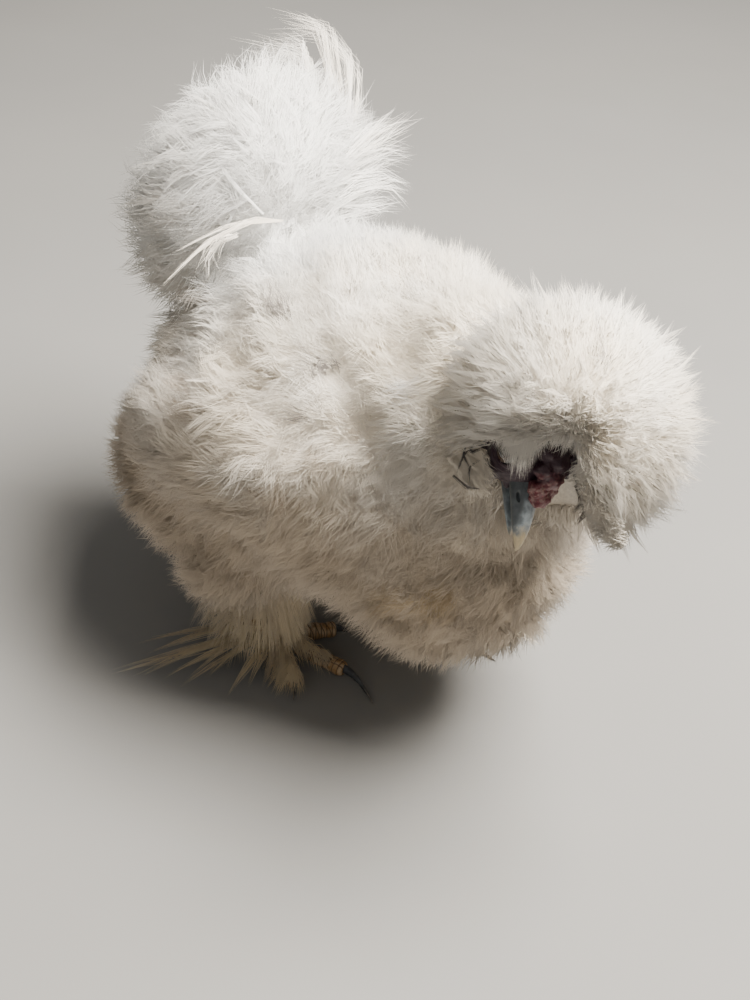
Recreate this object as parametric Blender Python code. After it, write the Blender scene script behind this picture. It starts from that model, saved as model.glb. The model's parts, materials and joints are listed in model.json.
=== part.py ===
"""A silkie chicken, standing with its head bowed and turned, as a still, life-size model.

Metres, +Z up. The bird faces +X and its left side is +Y. The origin is on the floor, under the middle
of the bird's bounding box. Each named part of the bird is one object, and neighbours keep a thin gap.
The coat is made of flat, tapered locks, which are rooted in a core and lie the way the plumage lies.
"""

import math
import random
from collections import namedtuple

import bmesh
import bpy
from mathutils import Matrix, Vector

MM = 0.001
GAP = 0.3 * MM
UP = Vector((0, 0, 1))
SHARP_EDGE = math.radians(35)

# The outer form of the plumage: the tips of the locks lie on these ellipsoids, blended together.
# Centres and radii are in millimetres, the pitch in degrees.
BODY = dict(centre=(-19, 0, 131), radii=(101, 81, 80), pitch=-9)
BREAST = dict(centre=(36, 0, 111), radii=(65, 64, 79), pitch=0)
VENT = dict(centre=(-77, -6, 93), radii=(53, 78, 48), pitch=0)
NECK = dict(centre=(52, -9, 170), radii=(46, 47, 49), pitch=0)
CREST = dict(centre=(98, -22, 197), radii=(49, 45, 48), pitch=0)
TAIL = dict(centre=(-101, 17, 199), radii=(37, 69, 59), pitch=0)
THIGH_RIGHT = dict(centre=(-48, -46, 73), radii=(36, 34, 44), pitch=0)
THIGH_LEFT = dict(centre=(-20, 38, 76), radii=(42, 31, 42), pitch=0)
BLEND = 7 * MM

# The cores that the locks are rooted in. On the body the core lies half way up through the coat.
COAT_DEPTH = 28 * MM
CORE_LEVEL = -COAT_DEPTH / 2
SINK = 4 * MM
LOCK_THICKNESS = 6 * MM
TORSO_MIDDLE = Vector((-22, 0, 132)) * MM
TORSO_REACH = 150 * MM
NECK_REACH = 75 * MM
THIGH_REACH = 70 * MM
CREST_CORE = dict(centre=(95, -22, 196), radii=(26, 25, 25), pitch=0)
TAIL_CORE = dict(centre=(-88, 12, 178), radii=(28, 42, 36), pitch=0)

# The head, turned to the bird's right, bowed and tilted.
HEAD_YAW = math.radians(-43)
HEAD_BOW = math.radians(50)
HEAD_TILT = math.radians(40)
SKULL_CENTRE = Vector((86, -32, 188)) * MM
SKULL_RADII = Vector((18, 15, 16)) * MM

# The bill, measured along the head's own forward line from the skull's centre.
BILL_ROOT = 15 * MM
BILL_LENGTH = 27 * MM
BILL_HALF_WIDTH = 6.8 * MM
BILL_HALF_HEIGHT = 6.0 * MM
BILL_HOOK = 3.2 * MM
LOWER_BILL_LENGTH = 21 * MM
LOWER_BILL_HALF_WIDTH = 5.4 * MM
LOWER_BILL_HALF_HEIGHT = 2.3 * MM
EYE_RADIUS = 4.6 * MM

# The legs and feet. The turns out are in degrees.
FOOT_RIGHT = Vector((-33, -33, 0)) * MM
FOOT_LEFT = Vector((-8, 31, 0)) * MM
TURN_OUT_RIGHT = -8
TURN_OUT_LEFT = 1
LEG_LEAN = -6 * MM
FEATHER_LINE = 37 * MM
SHANK_RADIUS = 8 * MM
BALL_RADIUS = 10.5 * MM
BALL_HEIGHT = 8.0 * MM
TOE_RADIUS = 4.6 * MM
TOE_OVERLAP = 3 * MM
CLAW_DROP = 0.35

# Planes that part the neck from the torso, the head from the neck, and the tail from the rump.
NECK_PLANE = (Vector((44, -4, 184)) * MM, Vector((0.80, -0.10, 0.59)).normalized())
HEAD_PLANE = (Vector((69, -20, 188)) * MM, Vector((0.86, -0.10, 0.50)).normalized())
TAIL_PLANES = (
    (Vector((-92, 12, 176)) * MM, Vector((-0.40, 0.05, 0.91)).normalized()),
    (Vector((-58, 16, 200)) * MM, Vector((-0.93, 0.02, 0.36)).normalized()),
)
FLOOR = (Vector((0, 0, 0)), UP)

# The folded wings lie in these ellipsoids, set into the torso's sides.
WING_CENTRE = Vector((-32, 74, 138)) * MM
WING_RADII = Vector((76, 27, 38)) * MM
WING_PITCH = math.radians(10)
THIGH_MARGIN = 3 * MM

# Red, green, blue and roughness of each material.
COLOURS = {
    "plumage": (0.80, 0.76, 0.68, 0.9),
    "crest_plumage": (0.84, 0.79, 0.70, 0.9),
    "tail_plumage": (0.80, 0.79, 0.76, 0.9),
    "foot_plumage": (0.60, 0.47, 0.28, 0.9),
    "face_skin": (0.06, 0.03, 0.05, 0.6),
    "comb_skin": (0.20, 0.04, 0.06, 0.5),
    "lobe_skin": (0.20, 0.25, 0.30, 0.6),
    "bill_horn": (0.20, 0.22, 0.24, 0.35),
    "eye_gloss": (0.01, 0.008, 0.008, 0.05),
    "toe_skin": (0.33, 0.19, 0.08, 0.7),
    "claw_horn": (0.07, 0.075, 0.085, 0.4),
}


class Form:
    """An ellipsoid with a centre, radii and a pitch about Y."""

    def __init__(self, centre, radii, pitch):
        self.centre = Vector(centre) * MM
        self.radii = Vector(radii) * MM
        self.turn = Matrix.Rotation(math.radians(pitch), 3, "Y")
        self.back = self.turn.transposed()

    def stretch(self, way):
        """How far the surface lies from the centre along a unit way."""
        local = self.back @ way
        return 1 / Vector([local[i] / self.radii[i] for i in range(3)]).length

    def distance(self, point):
        """Signed distance to the surface, along the line from the centre."""
        reach = (point - self.centre).length
        if reach < 1e-9:
            return -min(self.radii)
        return reach - self.stretch((point - self.centre) / reach)

    def surface(self, way, sink=0.0):
        """The surface point along a unit way from the centre, sunk in by a depth."""
        return self.centre + way * (self.stretch(way) - sink)


FORMS = [Form(**f) for f in (BODY, BREAST, VENT, NECK, CREST, TAIL, THIGH_RIGHT, THIGH_LEFT)]


def coat_distance(point):
    """Signed distance to the tips of the coat, over all forms, blended where they meet."""
    near = [form.distance(point) for form in FORMS]
    least = min(near)
    return least - BLEND * math.log(sum(math.exp((least - d) / BLEND) for d in near))


def coat_normal(point):
    step = 0.5 * MM
    slope = [
        coat_distance(point + step * axis) - coat_distance(point - step * axis)
        for axis in Matrix.Identity(3)
    ]
    return Vector(slope).normalized()


def on_level(point, level):
    """The point moved along the coat's normal to a signed distance from the tips."""
    for _ in range(3):
        point = point - coat_normal(point) * (coat_distance(point) - level)
    return point


def head_axes():
    """Forward along the bill, up through the crown, and the head's own right."""
    level = Vector((math.cos(HEAD_YAW), math.sin(HEAD_YAW), 0))
    forward = math.cos(HEAD_BOW) * level - math.sin(HEAD_BOW) * UP
    crown = math.sin(HEAD_BOW) * level + math.cos(HEAD_BOW) * UP
    right = forward.cross(crown)
    crown = math.cos(HEAD_TILT) * crown - math.sin(HEAD_TILT) * right
    return forward, crown, forward.cross(crown)


FORWARD, CROWN, RIGHT = head_axes()
HEAD_TURN = Matrix((FORWARD, -RIGHT, CROWN)).transposed()


def at_head(forward, right, crown):
    """A place given in millimetres along the head's own axes from the skull's centre."""
    return SKULL_CENTRE + (forward * FORWARD + right * RIGHT + crown * CROWN) * MM


def clear_scene():
    for thing in list(bpy.data.objects):
        bpy.data.objects.remove(thing)
    for group in list(bpy.data.collections):
        bpy.data.collections.remove(group)


def material(name):
    red, green, blue, rough = COLOURS[name]
    made = bpy.data.materials.get(name) or bpy.data.materials.new(name)
    made.use_nodes = True
    shader = made.node_tree.nodes["Principled BSDF"]
    shader.inputs["Base Color"].default_value = (red, green, blue, 1)
    shader.inputs["Roughness"].default_value = rough
    return made


def new_group(name):
    group = bpy.data.collections.new(name)
    bpy.context.scene.collection.children.link(group)
    return group


def object_from(bm, name, group):
    """An object whose mesh takes the bmesh, with its faces pointing out."""
    bmesh.ops.recalc_face_normals(bm, faces=bm.faces)
    mesh = bpy.data.meshes.new(name)
    bm.to_mesh(mesh)
    bm.free()
    made = bpy.data.objects.new(name, mesh)
    group.objects.link(made)
    return made


def ellipsoid(centre, radii, turn=None, detail=3):
    """A ball, stretched to its radii, turned and placed."""
    bm = bmesh.new()
    bmesh.ops.create_icosphere(bm, subdivisions=detail, radius=1)
    bmesh.ops.scale(bm, vec=radii, verts=bm.verts)
    if turn is not None:
        bmesh.ops.rotate(bm, matrix=turn, verts=bm.verts)
    bmesh.ops.translate(bm, vec=centre, verts=bm.verts)
    return bm


def form_ball(form, detail):
    return ellipsoid(form.centre, form.radii, form.turn, detail)


def coat_body(centre, level, reach, detail):
    """A closed body out to one level of the coat, along straight lines from its centre."""
    bm = bmesh.new()
    bmesh.ops.create_icosphere(bm, subdivisions=detail, radius=1)
    for vert in bm.verts:
        vert.co = coat_point(centre, vert.co.normalized(), level, reach)
    return bm


def coat_point(centre, way, level, reach):
    """Where a line out of the centre first comes up to one level of the coat."""
    step = reach / 12
    far = step
    while far < reach and coat_distance(centre + way * far) < level:
        far += step
    low, high = far - step, min(far, reach)
    for _ in range(10):
        middle = (low + high) / 2
        if coat_distance(centre + way * middle) < level:
            low = middle
        else:
            high = middle
    return centre + way * low


def half_space(planes, shift):
    """A large convex solid on the positive side of each plane, its faces moved inwards by shift."""
    bm = bmesh.new()
    bmesh.ops.create_cube(bm, size=1.2)
    for point, normal in planes:
        whole = bm.verts[:] + bm.edges[:] + bm.faces[:]
        bmesh.ops.bisect_plane(
            bm, geom=whole, plane_co=point + normal * shift, plane_no=-normal, clear_outer=True
        )
        rim = [edge for edge in bm.edges if edge.is_boundary]
        bmesh.ops.edgeloop_fill(bm, edges=rim)
    return bm


def beyond(planes, point, margin=0.0):
    """Whether a point lies on the positive side of every plane, by a margin."""
    return all((point - place).dot(normal) > margin for place, normal in planes)


def combine(target, operation, shapes):
    """Joins, cuts or trims the target by closed shapes, and applies the result."""
    if not shapes:
        return
    others = new_group(operation)
    for index, bm in enumerate(shapes):
        object_from(bm, f"{operation}_{index}", others)
    change = target.modifiers.new(operation, "BOOLEAN")
    change.operation = operation
    change.operand_type = "COLLECTION"
    change.collection = others
    change.solver = "MANIFOLD"
    bpy.context.view_layer.update()
    graph = bpy.context.evaluated_depsgraph_get()
    made = bpy.data.meshes.new_from_object(target.evaluated_get(graph))
    target.modifiers.clear()
    target.data = made
    for thing in list(others.objects):
        bpy.data.objects.remove(thing)
    bpy.data.collections.remove(others)


def shells_of(bm):
    """The separate closed surfaces of a mesh, as sets of faces."""
    left, shells = set(bm.faces), []
    while left:
        shell, rim = set(), [left.pop()]
        while rim:
            face = rim.pop()
            shell.add(face)
            for side in face.edges:
                for other in side.link_faces:
                    if other in left:
                        left.discard(other)
                        rim.append(other)
        shells.append(shell)
    return shells


def volume_of(shell):
    total = 0.0
    for face in shell:
        first = face.verts[0].co
        for second, third in zip(face.verts[1:-1], face.verts[2:]):
            total += first.dot(second.co.cross(third.co))
    return abs(total)


def keep_largest(target):
    """Leaves only the largest closed surface of the object."""
    bm = bmesh.new()
    bm.from_mesh(target.data)
    shells = sorted(shells_of(bm), key=volume_of)
    spare = [face for shell in shells[:-1] for face in shell]
    bmesh.ops.delete(bm, geom=spare, context="FACES")
    bmesh.ops.triangulate(bm, faces=bm.faces)
    bm.to_mesh(target.data)
    bm.free()


def dress(node, slot):
    """Gives the node its one material and smooth shading between its sharp edges."""
    node.data.materials.clear()
    node.data.materials.append(material(slot))
    node.data.shade_smooth()
    node.data.set_sharp_from_angle(angle=SHARP_EDGE)


def finish(name, base, group, slot, joins=(), trims=(), cuts=()):
    """One node: the base with its joins, trimmed to its own space and cut clear of its neighbours."""
    node = object_from(base, name, group)
    combine(node, "UNION", list(joins))
    for trim in trims:
        combine(node, "INTERSECT", [trim])
    combine(node, "DIFFERENCE", list(cuts))
    keep_largest(node)
    dress(node, slot)


def loft(rings, tip=None):
    """A closed body through rings of equally many points, ending in a cap or in one point."""
    bm = bmesh.new()
    rows = [[bm.verts.new(point) for point in ring] for ring in rings]
    count = len(rows[0])
    for first, second in zip(rows, rows[1:]):
        for i in range(count):
            j = (i + 1) % count
            bm.faces.new((first[i], first[j], second[j], second[i]))
    bm.faces.new(rows[0][::-1])
    if tip is None:
        bm.faces.new(rows[-1])
    else:
        end = bm.verts.new(tip)
        for i in range(count):
            bm.faces.new((rows[-1][i], rows[-1][(i + 1) % count], end))
    return bm


def ring_at(centre, side, upward, half_width, half_height, count, flat_below=0.0):
    """Points round an ellipse. Its lower half can be flattened by a share."""
    points = []
    for i in range(count):
        angle = 2 * math.pi * i / count
        rise = math.sin(angle)
        if rise < 0:
            rise *= 1 - flat_below
        points.append(centre + side * half_width * math.cos(angle) + upward * half_height * rise)
    return points


# Where along a lock its rings lie, and how wide and thick it is there as a share of its fullest.
LONG_LOCK = ((0.0, 0.75, 0.9), (0.36, 1.0, 1.0), (0.70, 0.74, 0.75))
SHORT_LOCK = ((0.0, 0.8, 0.9), (0.5, 1.0, 1.0))


def lock(root, over, tip, width, thickness, stations=SHORT_LOCK, grow=0.0):
    """A flat, tapered lock: it rises from its root towards the point over it, and bends to its tip.

    Its section is a low ridge over a flat underside. It can be grown all round, to cut a space for it.
    """
    side = (over - root).cross(tip - over)
    if side.length < 1e-9:
        side = (over - root).cross(Vector((0.3, 0.5, 0.8)))
    side.normalize()
    rings = []
    for share, wide, thick in stations:
        centre = (1 - share) ** 2 * root + 2 * share * (1 - share) * over + share**2 * tip
        run = ((1 - share) * (over - root) + share * (tip - over)).normalized()
        out = side.cross(run)
        if out.dot(over - (root + tip) / 2) < 0:
            out = -out
        if share == 0 and grow:
            centre = centre - run * grow
        half = side * (width * wide / 2 + 2 * grow)
        ridge = out * (thickness * thick * 0.65 + grow)
        under = out * (thickness * thick * 0.35 + grow)
        rings.append([centre - half - under, centre + half - under, centre + ridge])
    end = tip + (tip - over).normalized() * 2 * grow
    return loft(rings, end)


def along_coat(point, heading):
    """The heading, laid flat into the coat's surface at the point."""
    normal = coat_normal(point)
    flat = heading - normal * heading.dot(normal)
    return flat.normalized() if flat.length > 1e-6 else normal.orthogonal().normalized()


def vary(value, share):
    return value * random.uniform(1 - share, 1 + share)


def turned(way, axis, degrees):
    return Matrix.Rotation(math.radians(degrees), 3, axis) @ way


def sphere_ways(count):
    """Unit ways spread evenly over a sphere, in a shuffled order that is the same each run."""
    golden = math.pi * (3 - math.sqrt(5))
    ways = []
    for i in range(count):
        z = 1 - 2 * (i + 0.5) / count
        r = math.sqrt(1 - z * z)
        ways.append(Vector((r * math.cos(golden * i), r * math.sin(golden * i), z)))
    random.shuffle(ways)
    return ways


def spread(points, spacing):
    """As many of the points as can stay at least the spacing apart."""
    kept = []
    for point in points:
        if all((point - other).length > spacing for other in kept):
            kept.append(point)
    return kept


def coat_locks(places, heading, length, width, thickness, tip_level, root_of, keep, stations=SHORT_LOCK):
    """Locks at places on the coat's outer form, each lying along its heading there.

    The heading, length, tip_level and root_of are functions of a place. A lock whose tip would leave
    the space that keep allows is shortened, and left out where even the shorter one would.
    """
    locks = []
    for place in places:
        normal = coat_normal(place)
        way = turned(along_coat(place, heading(place)), normal, random.uniform(-16, 16))
        run = vary(length(place), 0.14)
        for share in (1.0, 0.6):
            tip = on_level(place + way * run * share, tip_level(place))
            if keep(tip):
                size = (vary(width, 0.12), vary(thickness, 0.1))
                locks.append(lock(root_of(place), place, tip, *size, stations))
                break
    return locks


def wing_form(side):
    form = Form((0, 0, 0), WING_RADII / MM, -math.degrees(WING_PITCH))
    form.centre = Vector((WING_CENTRE.x, side * WING_CENTRE.y, WING_CENTRE.z))
    return form


def wing_shape(side, grow):
    form = wing_form(side)
    return ellipsoid(form.centre, form.radii + Vector((grow,) * 3), form.turn, 2)


def thigh_form(form):
    grown = Form(**form)
    grown.radii += Vector((THIGH_MARGIN,) * 3)
    return grown


def thigh_shape(form, grow):
    whole = thigh_form(form)
    return ellipsoid(whole.centre, whole.radii + Vector((grow,) * 3), None, 2)


def skull_shape(grow):
    return ellipsoid(SKULL_CENTRE, SKULL_RADII + Vector((grow,) * 3), HEAD_TURN)


TORSO_HEADING = Vector((-1, 0, -0.7))
TORSO_SPACING = 26.3 * MM
NECK_HEADING = Vector((-0.86, 0.10, -0.62))


def in_torso(point):
    """Whether a place belongs to the torso: not to the neck, the tail, a wing or a thigh."""
    if beyond([NECK_PLANE], point, 0) or beyond(TAIL_PLANES, point, 0):
        return False
    others = [wing_form(-1), wing_form(1), thigh_form(THIGH_RIGHT), thigh_form(THIGH_LEFT)]
    return all(other.distance(point) > 0 for other in others)


def sunk(place):
    return on_level(place, CORE_LEVEL - SINK)


def make_torso(group):
    core = coat_body(TORSO_MIDDLE, CORE_LEVEL, TORSO_REACH, 3)
    places = [coat_point(TORSO_MIDDLE, way, 0, TORSO_REACH) for way in sphere_ways(1600)]
    places = spread([place for place in places if in_torso(place)], TORSO_SPACING)
    locks = coat_locks(
        places,
        heading=lambda place: TORSO_HEADING,
        length=lambda place: 34 * MM,
        width=32 * MM,
        thickness=LOCK_THICKNESS,
        tip_level=lambda place: random.uniform(-1.5, 3.0) * MM,
        root_of=sunk,
        keep=in_torso,
    )
    cuts = [half_space([NECK_PLANE], -GAP / 2), half_space(TAIL_PLANES, -GAP / 2)]
    cuts += [wing_shape(side, GAP / 2) for side in (-1, 1)]
    cuts += [thigh_shape(form, GAP / 2) for form in (THIGH_RIGHT, THIGH_LEFT)]
    finish("torso", core, group, "plumage", joins=locks, cuts=cuts)


def make_neck(group):
    middle = Vector(NECK["centre"]) * MM
    core = coat_body(middle, CORE_LEVEL, NECK_REACH, 2)

    def in_neck(point):
        return beyond([NECK_PLANE], point) and not beyond([HEAD_PLANE], point)

    places = [coat_point(middle, way, 0, NECK_REACH) for way in sphere_ways(700)]
    places = spread([place for place in places if in_neck(place)], 19 * MM)
    locks = coat_locks(
        places,
        heading=lambda place: NECK_HEADING,
        length=lambda place: 26 * MM,
        width=24 * MM,
        thickness=LOCK_THICKNESS,
        tip_level=lambda place: random.uniform(-1.0, 2.5) * MM,
        root_of=sunk,
        keep=lambda point: True,
    )
    trims = [half_space([NECK_PLANE], GAP / 2)]
    cuts = [half_space([HEAD_PLANE], -GAP / 2)] + face_pieces(GAP)
    finish("neck", core, group, "plumage", joins=locks, trims=trims, cuts=cuts)


# The whorl that the crest's plumes flow away from, as a way out of the crest's centre.
CREST_WHORL = Vector((0.72, -0.30, 0.62)).normalized()


def face_clearance():
    """The space round the bill, comb and face that the crest's plumes leave open."""
    rings = []
    for along, radius, crown in ((2, 16, 1), (9, 20, 3), (30, 22, 2), (60, 28, 0)):
        rings.append(ring_at(at_head(along, 0, crown), RIGHT, CROWN, radius * MM, radius * MM, 16))
    return loft(rings)


def in_face_clearance(point):
    along = (point - SKULL_CENTRE).dot(FORWARD)
    across = (point - at_head(0, 0, 2)) - FORWARD * along
    return along > 0 and across.length < 18 * MM + 0.16 * along


def make_crest(group):
    form, core = Form(**CREST), Form(**CREST_CORE)

    def crest_run(place):
        """Plumes near the whorl stand up, and those away from it lie over."""
        near = max(0.0, (place - form.centre).normalized().dot(CREST_WHORL))
        return (22 - 16 * near**4) * MM

    def in_crest(point):
        return beyond([HEAD_PLANE], point, 1 * MM) and not in_face_clearance(point)

    places = [form.surface(way) for way in sphere_ways(900)]
    places = spread([place for place in places if in_crest(place)], 16 * MM)
    locks = coat_locks(
        places,
        heading=lambda place: -CREST_WHORL,
        length=crest_run,
        width=19 * MM,
        thickness=LOCK_THICKNESS,
        tip_level=lambda place: random.uniform(-2.0, 4.0) * MM,
        root_of=lambda place: core.surface((place - core.centre).normalized(), SINK),
        keep=in_crest,
    )
    trims = [half_space([HEAD_PLANE], GAP / 2)]
    cuts = [skull_shape(GAP), face_clearance()] + face_pieces(GAP)
    finish("crest", form_ball(core, 2), group, "crest_plumage", joins=locks, trims=trims, cuts=cuts)


# Where the tail's plumes rise out of the saddle, and how they arch over behind it.
TAIL_ROOT = Vector((-58, 10, 168)) * MM

# Longer plumes that stand out over the tail's crown: root, the point each rises towards, and tip.
CROWN_PLUMES = (
    ((-90, 40, 202), (-96, 84, 280), (-131, 54, 260)),
    ((-92, 28, 204), (-100, 60, 274), (-127, 40, 257)),
    ((-94, 44, 198), (-108, 90, 258), (-139, 42, 246)),
)
CROWN_PLUME_WIDTH = 12 * MM
CROWN_PLUME_THICKNESS = 5 * MM


def tail_heading(place):
    return (place - TAIL_ROOT).normalized() - UP * 0.6


def tail_tip(place):
    """The topmost plumes stand out a little above the others."""
    high = max(0.0, (place.z - TAIL["centre"][2] * MM) / (TAIL["radii"][2] * MM))
    return random.uniform(-2.0, 3.0) * MM + high * random.uniform(0, 5) * MM


def make_tail(group):
    form, core = Form(**TAIL), Form(**TAIL_CORE)

    def in_tail(point):
        return beyond(TAIL_PLANES, point, 1 * MM)

    places = [form.surface(way) for way in sphere_ways(900)]
    places = spread([place for place in places if in_tail(place)], 21 * MM)
    locks = coat_locks(
        places,
        heading=tail_heading,
        length=lambda place: 34 * MM,
        width=23 * MM,
        thickness=LOCK_THICKNESS,
        tip_level=tail_tip,
        root_of=lambda place: core.surface((place - core.centre).normalized(), SINK),
        keep=in_tail,
        stations=LONG_LOCK,
    )
    for plume in CROWN_PLUMES:
        bends = [Vector(point) * MM for point in plume]
        locks.append(lock(*bends, CROWN_PLUME_WIDTH, CROWN_PLUME_THICKNESS, LONG_LOCK))
    trims = [half_space(TAIL_PLANES, GAP / 2)]
    finish("tail", form_ball(core, 2), group, "tail_plumage", joins=locks, trims=trims)


# The wing's vanes stand in tiers: how far back the tier's roots lie along the wing, how many vanes it
# has, how far they are spread down the wing, and how long they are.
WING_TIERS = (
    (-42, 3, 36, 26),
    (-18, 4, 48, 30),
    (8, 4, 50, 34),
    (34, 4, 44, 36),
)
WING_HEADING = Vector((-1, 0, -0.28))
WING_LEVEL = CORE_LEVEL + 5 * MM
VANE_WIDTH = 20 * MM
VANE_THICKNESS = 4 * MM


def make_wing(group, side, name):
    """A folded wing: its vanes in tiers, over a core that stands a little proud of the torso's."""
    form = wing_form(side)
    body = coat_body(TORSO_MIDDLE, WING_LEVEL, TORSO_REACH, 3)
    vanes = []
    for back, count, breadth, length in WING_TIERS:
        for i in range(count):
            down = breadth * (i / (count - 1) - 0.5)
            place = form.centre + form.turn @ Vector((-back, 0, -down)) * MM
            place = on_level(place, 0)
            tip_level = random.uniform(0.0, 2.5) * MM - 0.02 * abs(down) * MM
            way = turned(along_coat(place, WING_HEADING), UP, random.uniform(-4, 4))
            tip = on_level(place + way * vary(length, 0.08) * MM, tip_level)
            root = on_level(place - way * 8 * MM, WING_LEVEL - SINK)
            vanes.append(lock(root, place, tip, vary(VANE_WIDTH, 0.08), VANE_THICKNESS))
    node = object_from(wing_shape(side, -GAP / 2), name, group)
    combine(node, "INTERSECT", [body])
    combine(node, "UNION", vanes)
    combine(node, "INTERSECT", [wing_shape(side, -GAP / 2)])
    keep_largest(node)
    dress(node, "plumage")


def make_thigh(group, form, name):
    whole = Form(**form)
    core = coat_body(whole.centre, CORE_LEVEL + 4 * MM, THIGH_REACH, 2)
    places = [whole.surface(way) for way in sphere_ways(500)]
    outer = 1 if whole.centre.y > 0 else -1
    places = [
        place
        for place in places
        if abs(coat_distance(place)) < 6 * MM and FEATHER_LINE + 8 * MM < place.z < 82 * MM
    ]
    locks = coat_locks(
        spread(places, 19 * MM),
        heading=lambda place: Vector((-0.35, 0.1 * outer, -1)),
        length=lambda place: 26 * MM,
        width=22 * MM,
        thickness=LOCK_THICKNESS,
        tip_level=lambda place: random.uniform(-1, 2) * MM,
        root_of=lambda place: on_level(place, CORE_LEVEL),
        keep=lambda point: True,
    )
    trims = [thigh_shape(form, -GAP / 2), half_space([(UP * FEATHER_LINE, UP)], GAP / 2)]
    finish(name, core, group, "plumage", joins=locks, trims=trims, cuts=[wing_shape(outer, GAP / 2)])


# Degrees run from forward towards the foot's outer side; the length, the root's rise and the claw's
# length are in millimetres.
Toe = namedtuple("Toe", "name degrees length rise claw")
TOES = (
    Toe("inner", -45, 19, 0, 8),
    Toe("middle", 0, 30, 0, 21),
    Toe("outer", 40, 23, 0, 9),
    Toe("hind", 166, 17, 0, 9),
    Toe("fifth", 206, 15, 9, 11),
)

# Feathers along the outer side of the toes: toe, share of its length, degrees out from the toe, length.
TOE_FEATHERS = (
    ("middle", 0.12, 30, 22),
    ("middle", 0.34, 24, 18),
    ("outer", 0.10, 40, 30),
    ("outer", 0.35, 30, 24),
    ("outer", 0.60, 20, 18),
    ("outer", 0.80, 12, 14),
)

# The stiff fan on the foot's outer side: degrees from forward, and how far its tips reach.
FAN = ((98, 50), (106, 60), (114, 72), (120, 79), (128, 65), (136, 60))

# The side that the shank's plumage leans out to, in degrees from forward, and how far it leans.
PLUMAGE_SIDE = 146
PLUMAGE_LEAN = 8


def foot_way(degrees, outer):
    angle = math.radians(degrees) * outer
    return Vector((math.cos(angle), math.sin(angle), 0))


class Foot:
    """Where a foot stands, the sign of its outer side along Y, its turn out and its claws' bend.

    The bend is how far the claws' tips swing to the outer side, as a share of their length.
    """

    def __init__(self, label, centre, outer, turn, bend):
        self.label = label
        self.centre = centre
        self.outer = outer
        self.turn = turn
        self.bend = bend

    def way(self, degrees):
        return foot_way(degrees + self.turn, self.outer)


FEET = (
    Foot("right", FOOT_RIGHT, -1, TURN_OUT_RIGHT, 0.35),
    Foot("left", FOOT_LEFT, 1, TURN_OUT_LEFT, 0.0),
)
TOE_RINGS = ((0, 1.0), (0.32, 0.84), (0.5, 0.98), (0.7, 0.8), (0.9, 0.92), (1.0, 0.66))
HIGH_TOE_SLOPE = 0.55


def toe_line(foot, toe):
    """The toe's root, its run, its side and its upper side."""
    way = foot.way(toe.degrees)
    side = way.cross(UP)
    root = foot.centre + way * (BALL_RADIUS - TOE_OVERLAP) + UP * (TOE_RADIUS * 0.9 + toe.rise * MM)
    run = (way + UP * (HIGH_TOE_SLOPE if toe.rise else 0.0)).normalized()
    lift = side.cross(run)
    return root, run, side, lift if lift.z > 0 else -lift


def toe_reach(toe):
    return toe.length * MM + TOE_OVERLAP


def toe_body(foot, toe, grow):
    root, run, side, lift = toe_line(foot, toe)
    rings = []
    for share, girth in TOE_RINGS:
        radius = TOE_RADIUS * girth + grow
        along = toe_reach(toe) * share + (grow if share == 1 else 0)
        rings.append(ring_at(root + run * along, side, lift, radius, radius, 8))
    return loft(rings)


def toe_feathers(foot, toe, grow):
    """Flat vanes rooted in the outer side of the toe, with their tips just clear of the floor."""
    root, run = toe_line(foot, toe)[:2]
    vanes = []
    for name, share, degrees, length in TOE_FEATHERS:
        if name != toe.name:
            continue
        base = root + run * toe.length * MM * share
        way = foot.way(toe.degrees + degrees)
        over = base + way * length * 0.5 * MM + UP * 3.5 * MM
        tip = base + way * length * MM
        tip.z = 1.6 * MM
        vanes.append(lock(base, over, tip, 8 * MM, 2.2 * MM, SHORT_LOCK, grow))
    return vanes


def ball_shape(foot, grow):
    radii = Vector((1, 1, 0.9)) * BALL_RADIUS + Vector((grow,) * 3)
    return ellipsoid(foot.centre + UP * BALL_HEIGHT, radii, None, 2)


def shank_post(foot, grow):
    """The shank, leaning back a little, up to where the thigh's plumage begins."""
    side, ahead = Vector((0, 1, 0)), Vector((1, 0, 0))
    radius = SHANK_RADIUS + grow
    rings = []
    for share in (0.13, 0.58, 1.0):
        centre = foot.centre + Vector((LEG_LEAN, 0, FEATHER_LINE + 1 * MM)) * share
        rings.append(ring_at(centre, ahead, side, radius, radius, 10))
    return loft(rings)


def shank_locks(foot):
    """The shank's plumage: two tiers that widen downwards like a trouser leg, and the foot's fan."""
    locks = []
    for tier, count, high, reach, low in ((0, 6, 34, 22, 14), (1, 7, 24, 26, 7)):
        for i in range(count):
            degrees = -70 + 360 * (i + 0.5 * tier) / count
            way = foot.way(degrees)
            outside = max(0.0, math.cos(math.radians(degrees - PLUMAGE_SIDE)))
            root = foot.centre + UP * high * MM + way * (SHANK_RADIUS - 3 * MM)
            over = foot.centre + UP * (high - 3) * MM + way * (SHANK_RADIUS + 8 * MM)
            tip = foot.centre + way * vary(reach + PLUMAGE_LEAN * outside, 0.08) * MM
            tip.z = max(vary(low, 0.2), 1.5) * MM
            locks.append(lock(root, over, tip, vary(17, 0.1) * MM, 4.5 * MM))
    for degrees, reach in FAN:
        way = foot.way(degrees - foot.turn)
        root = foot.centre + way * 5 * MM + UP * 9 * MM
        over = foot.centre + way * reach * 0.5 * MM + UP * 15 * MM
        tip = foot.centre + way * reach * MM + UP * 1.8 * MM
        locks.append(lock(root, over, tip, 9 * MM, 2.6 * MM))
    return locks


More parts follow.
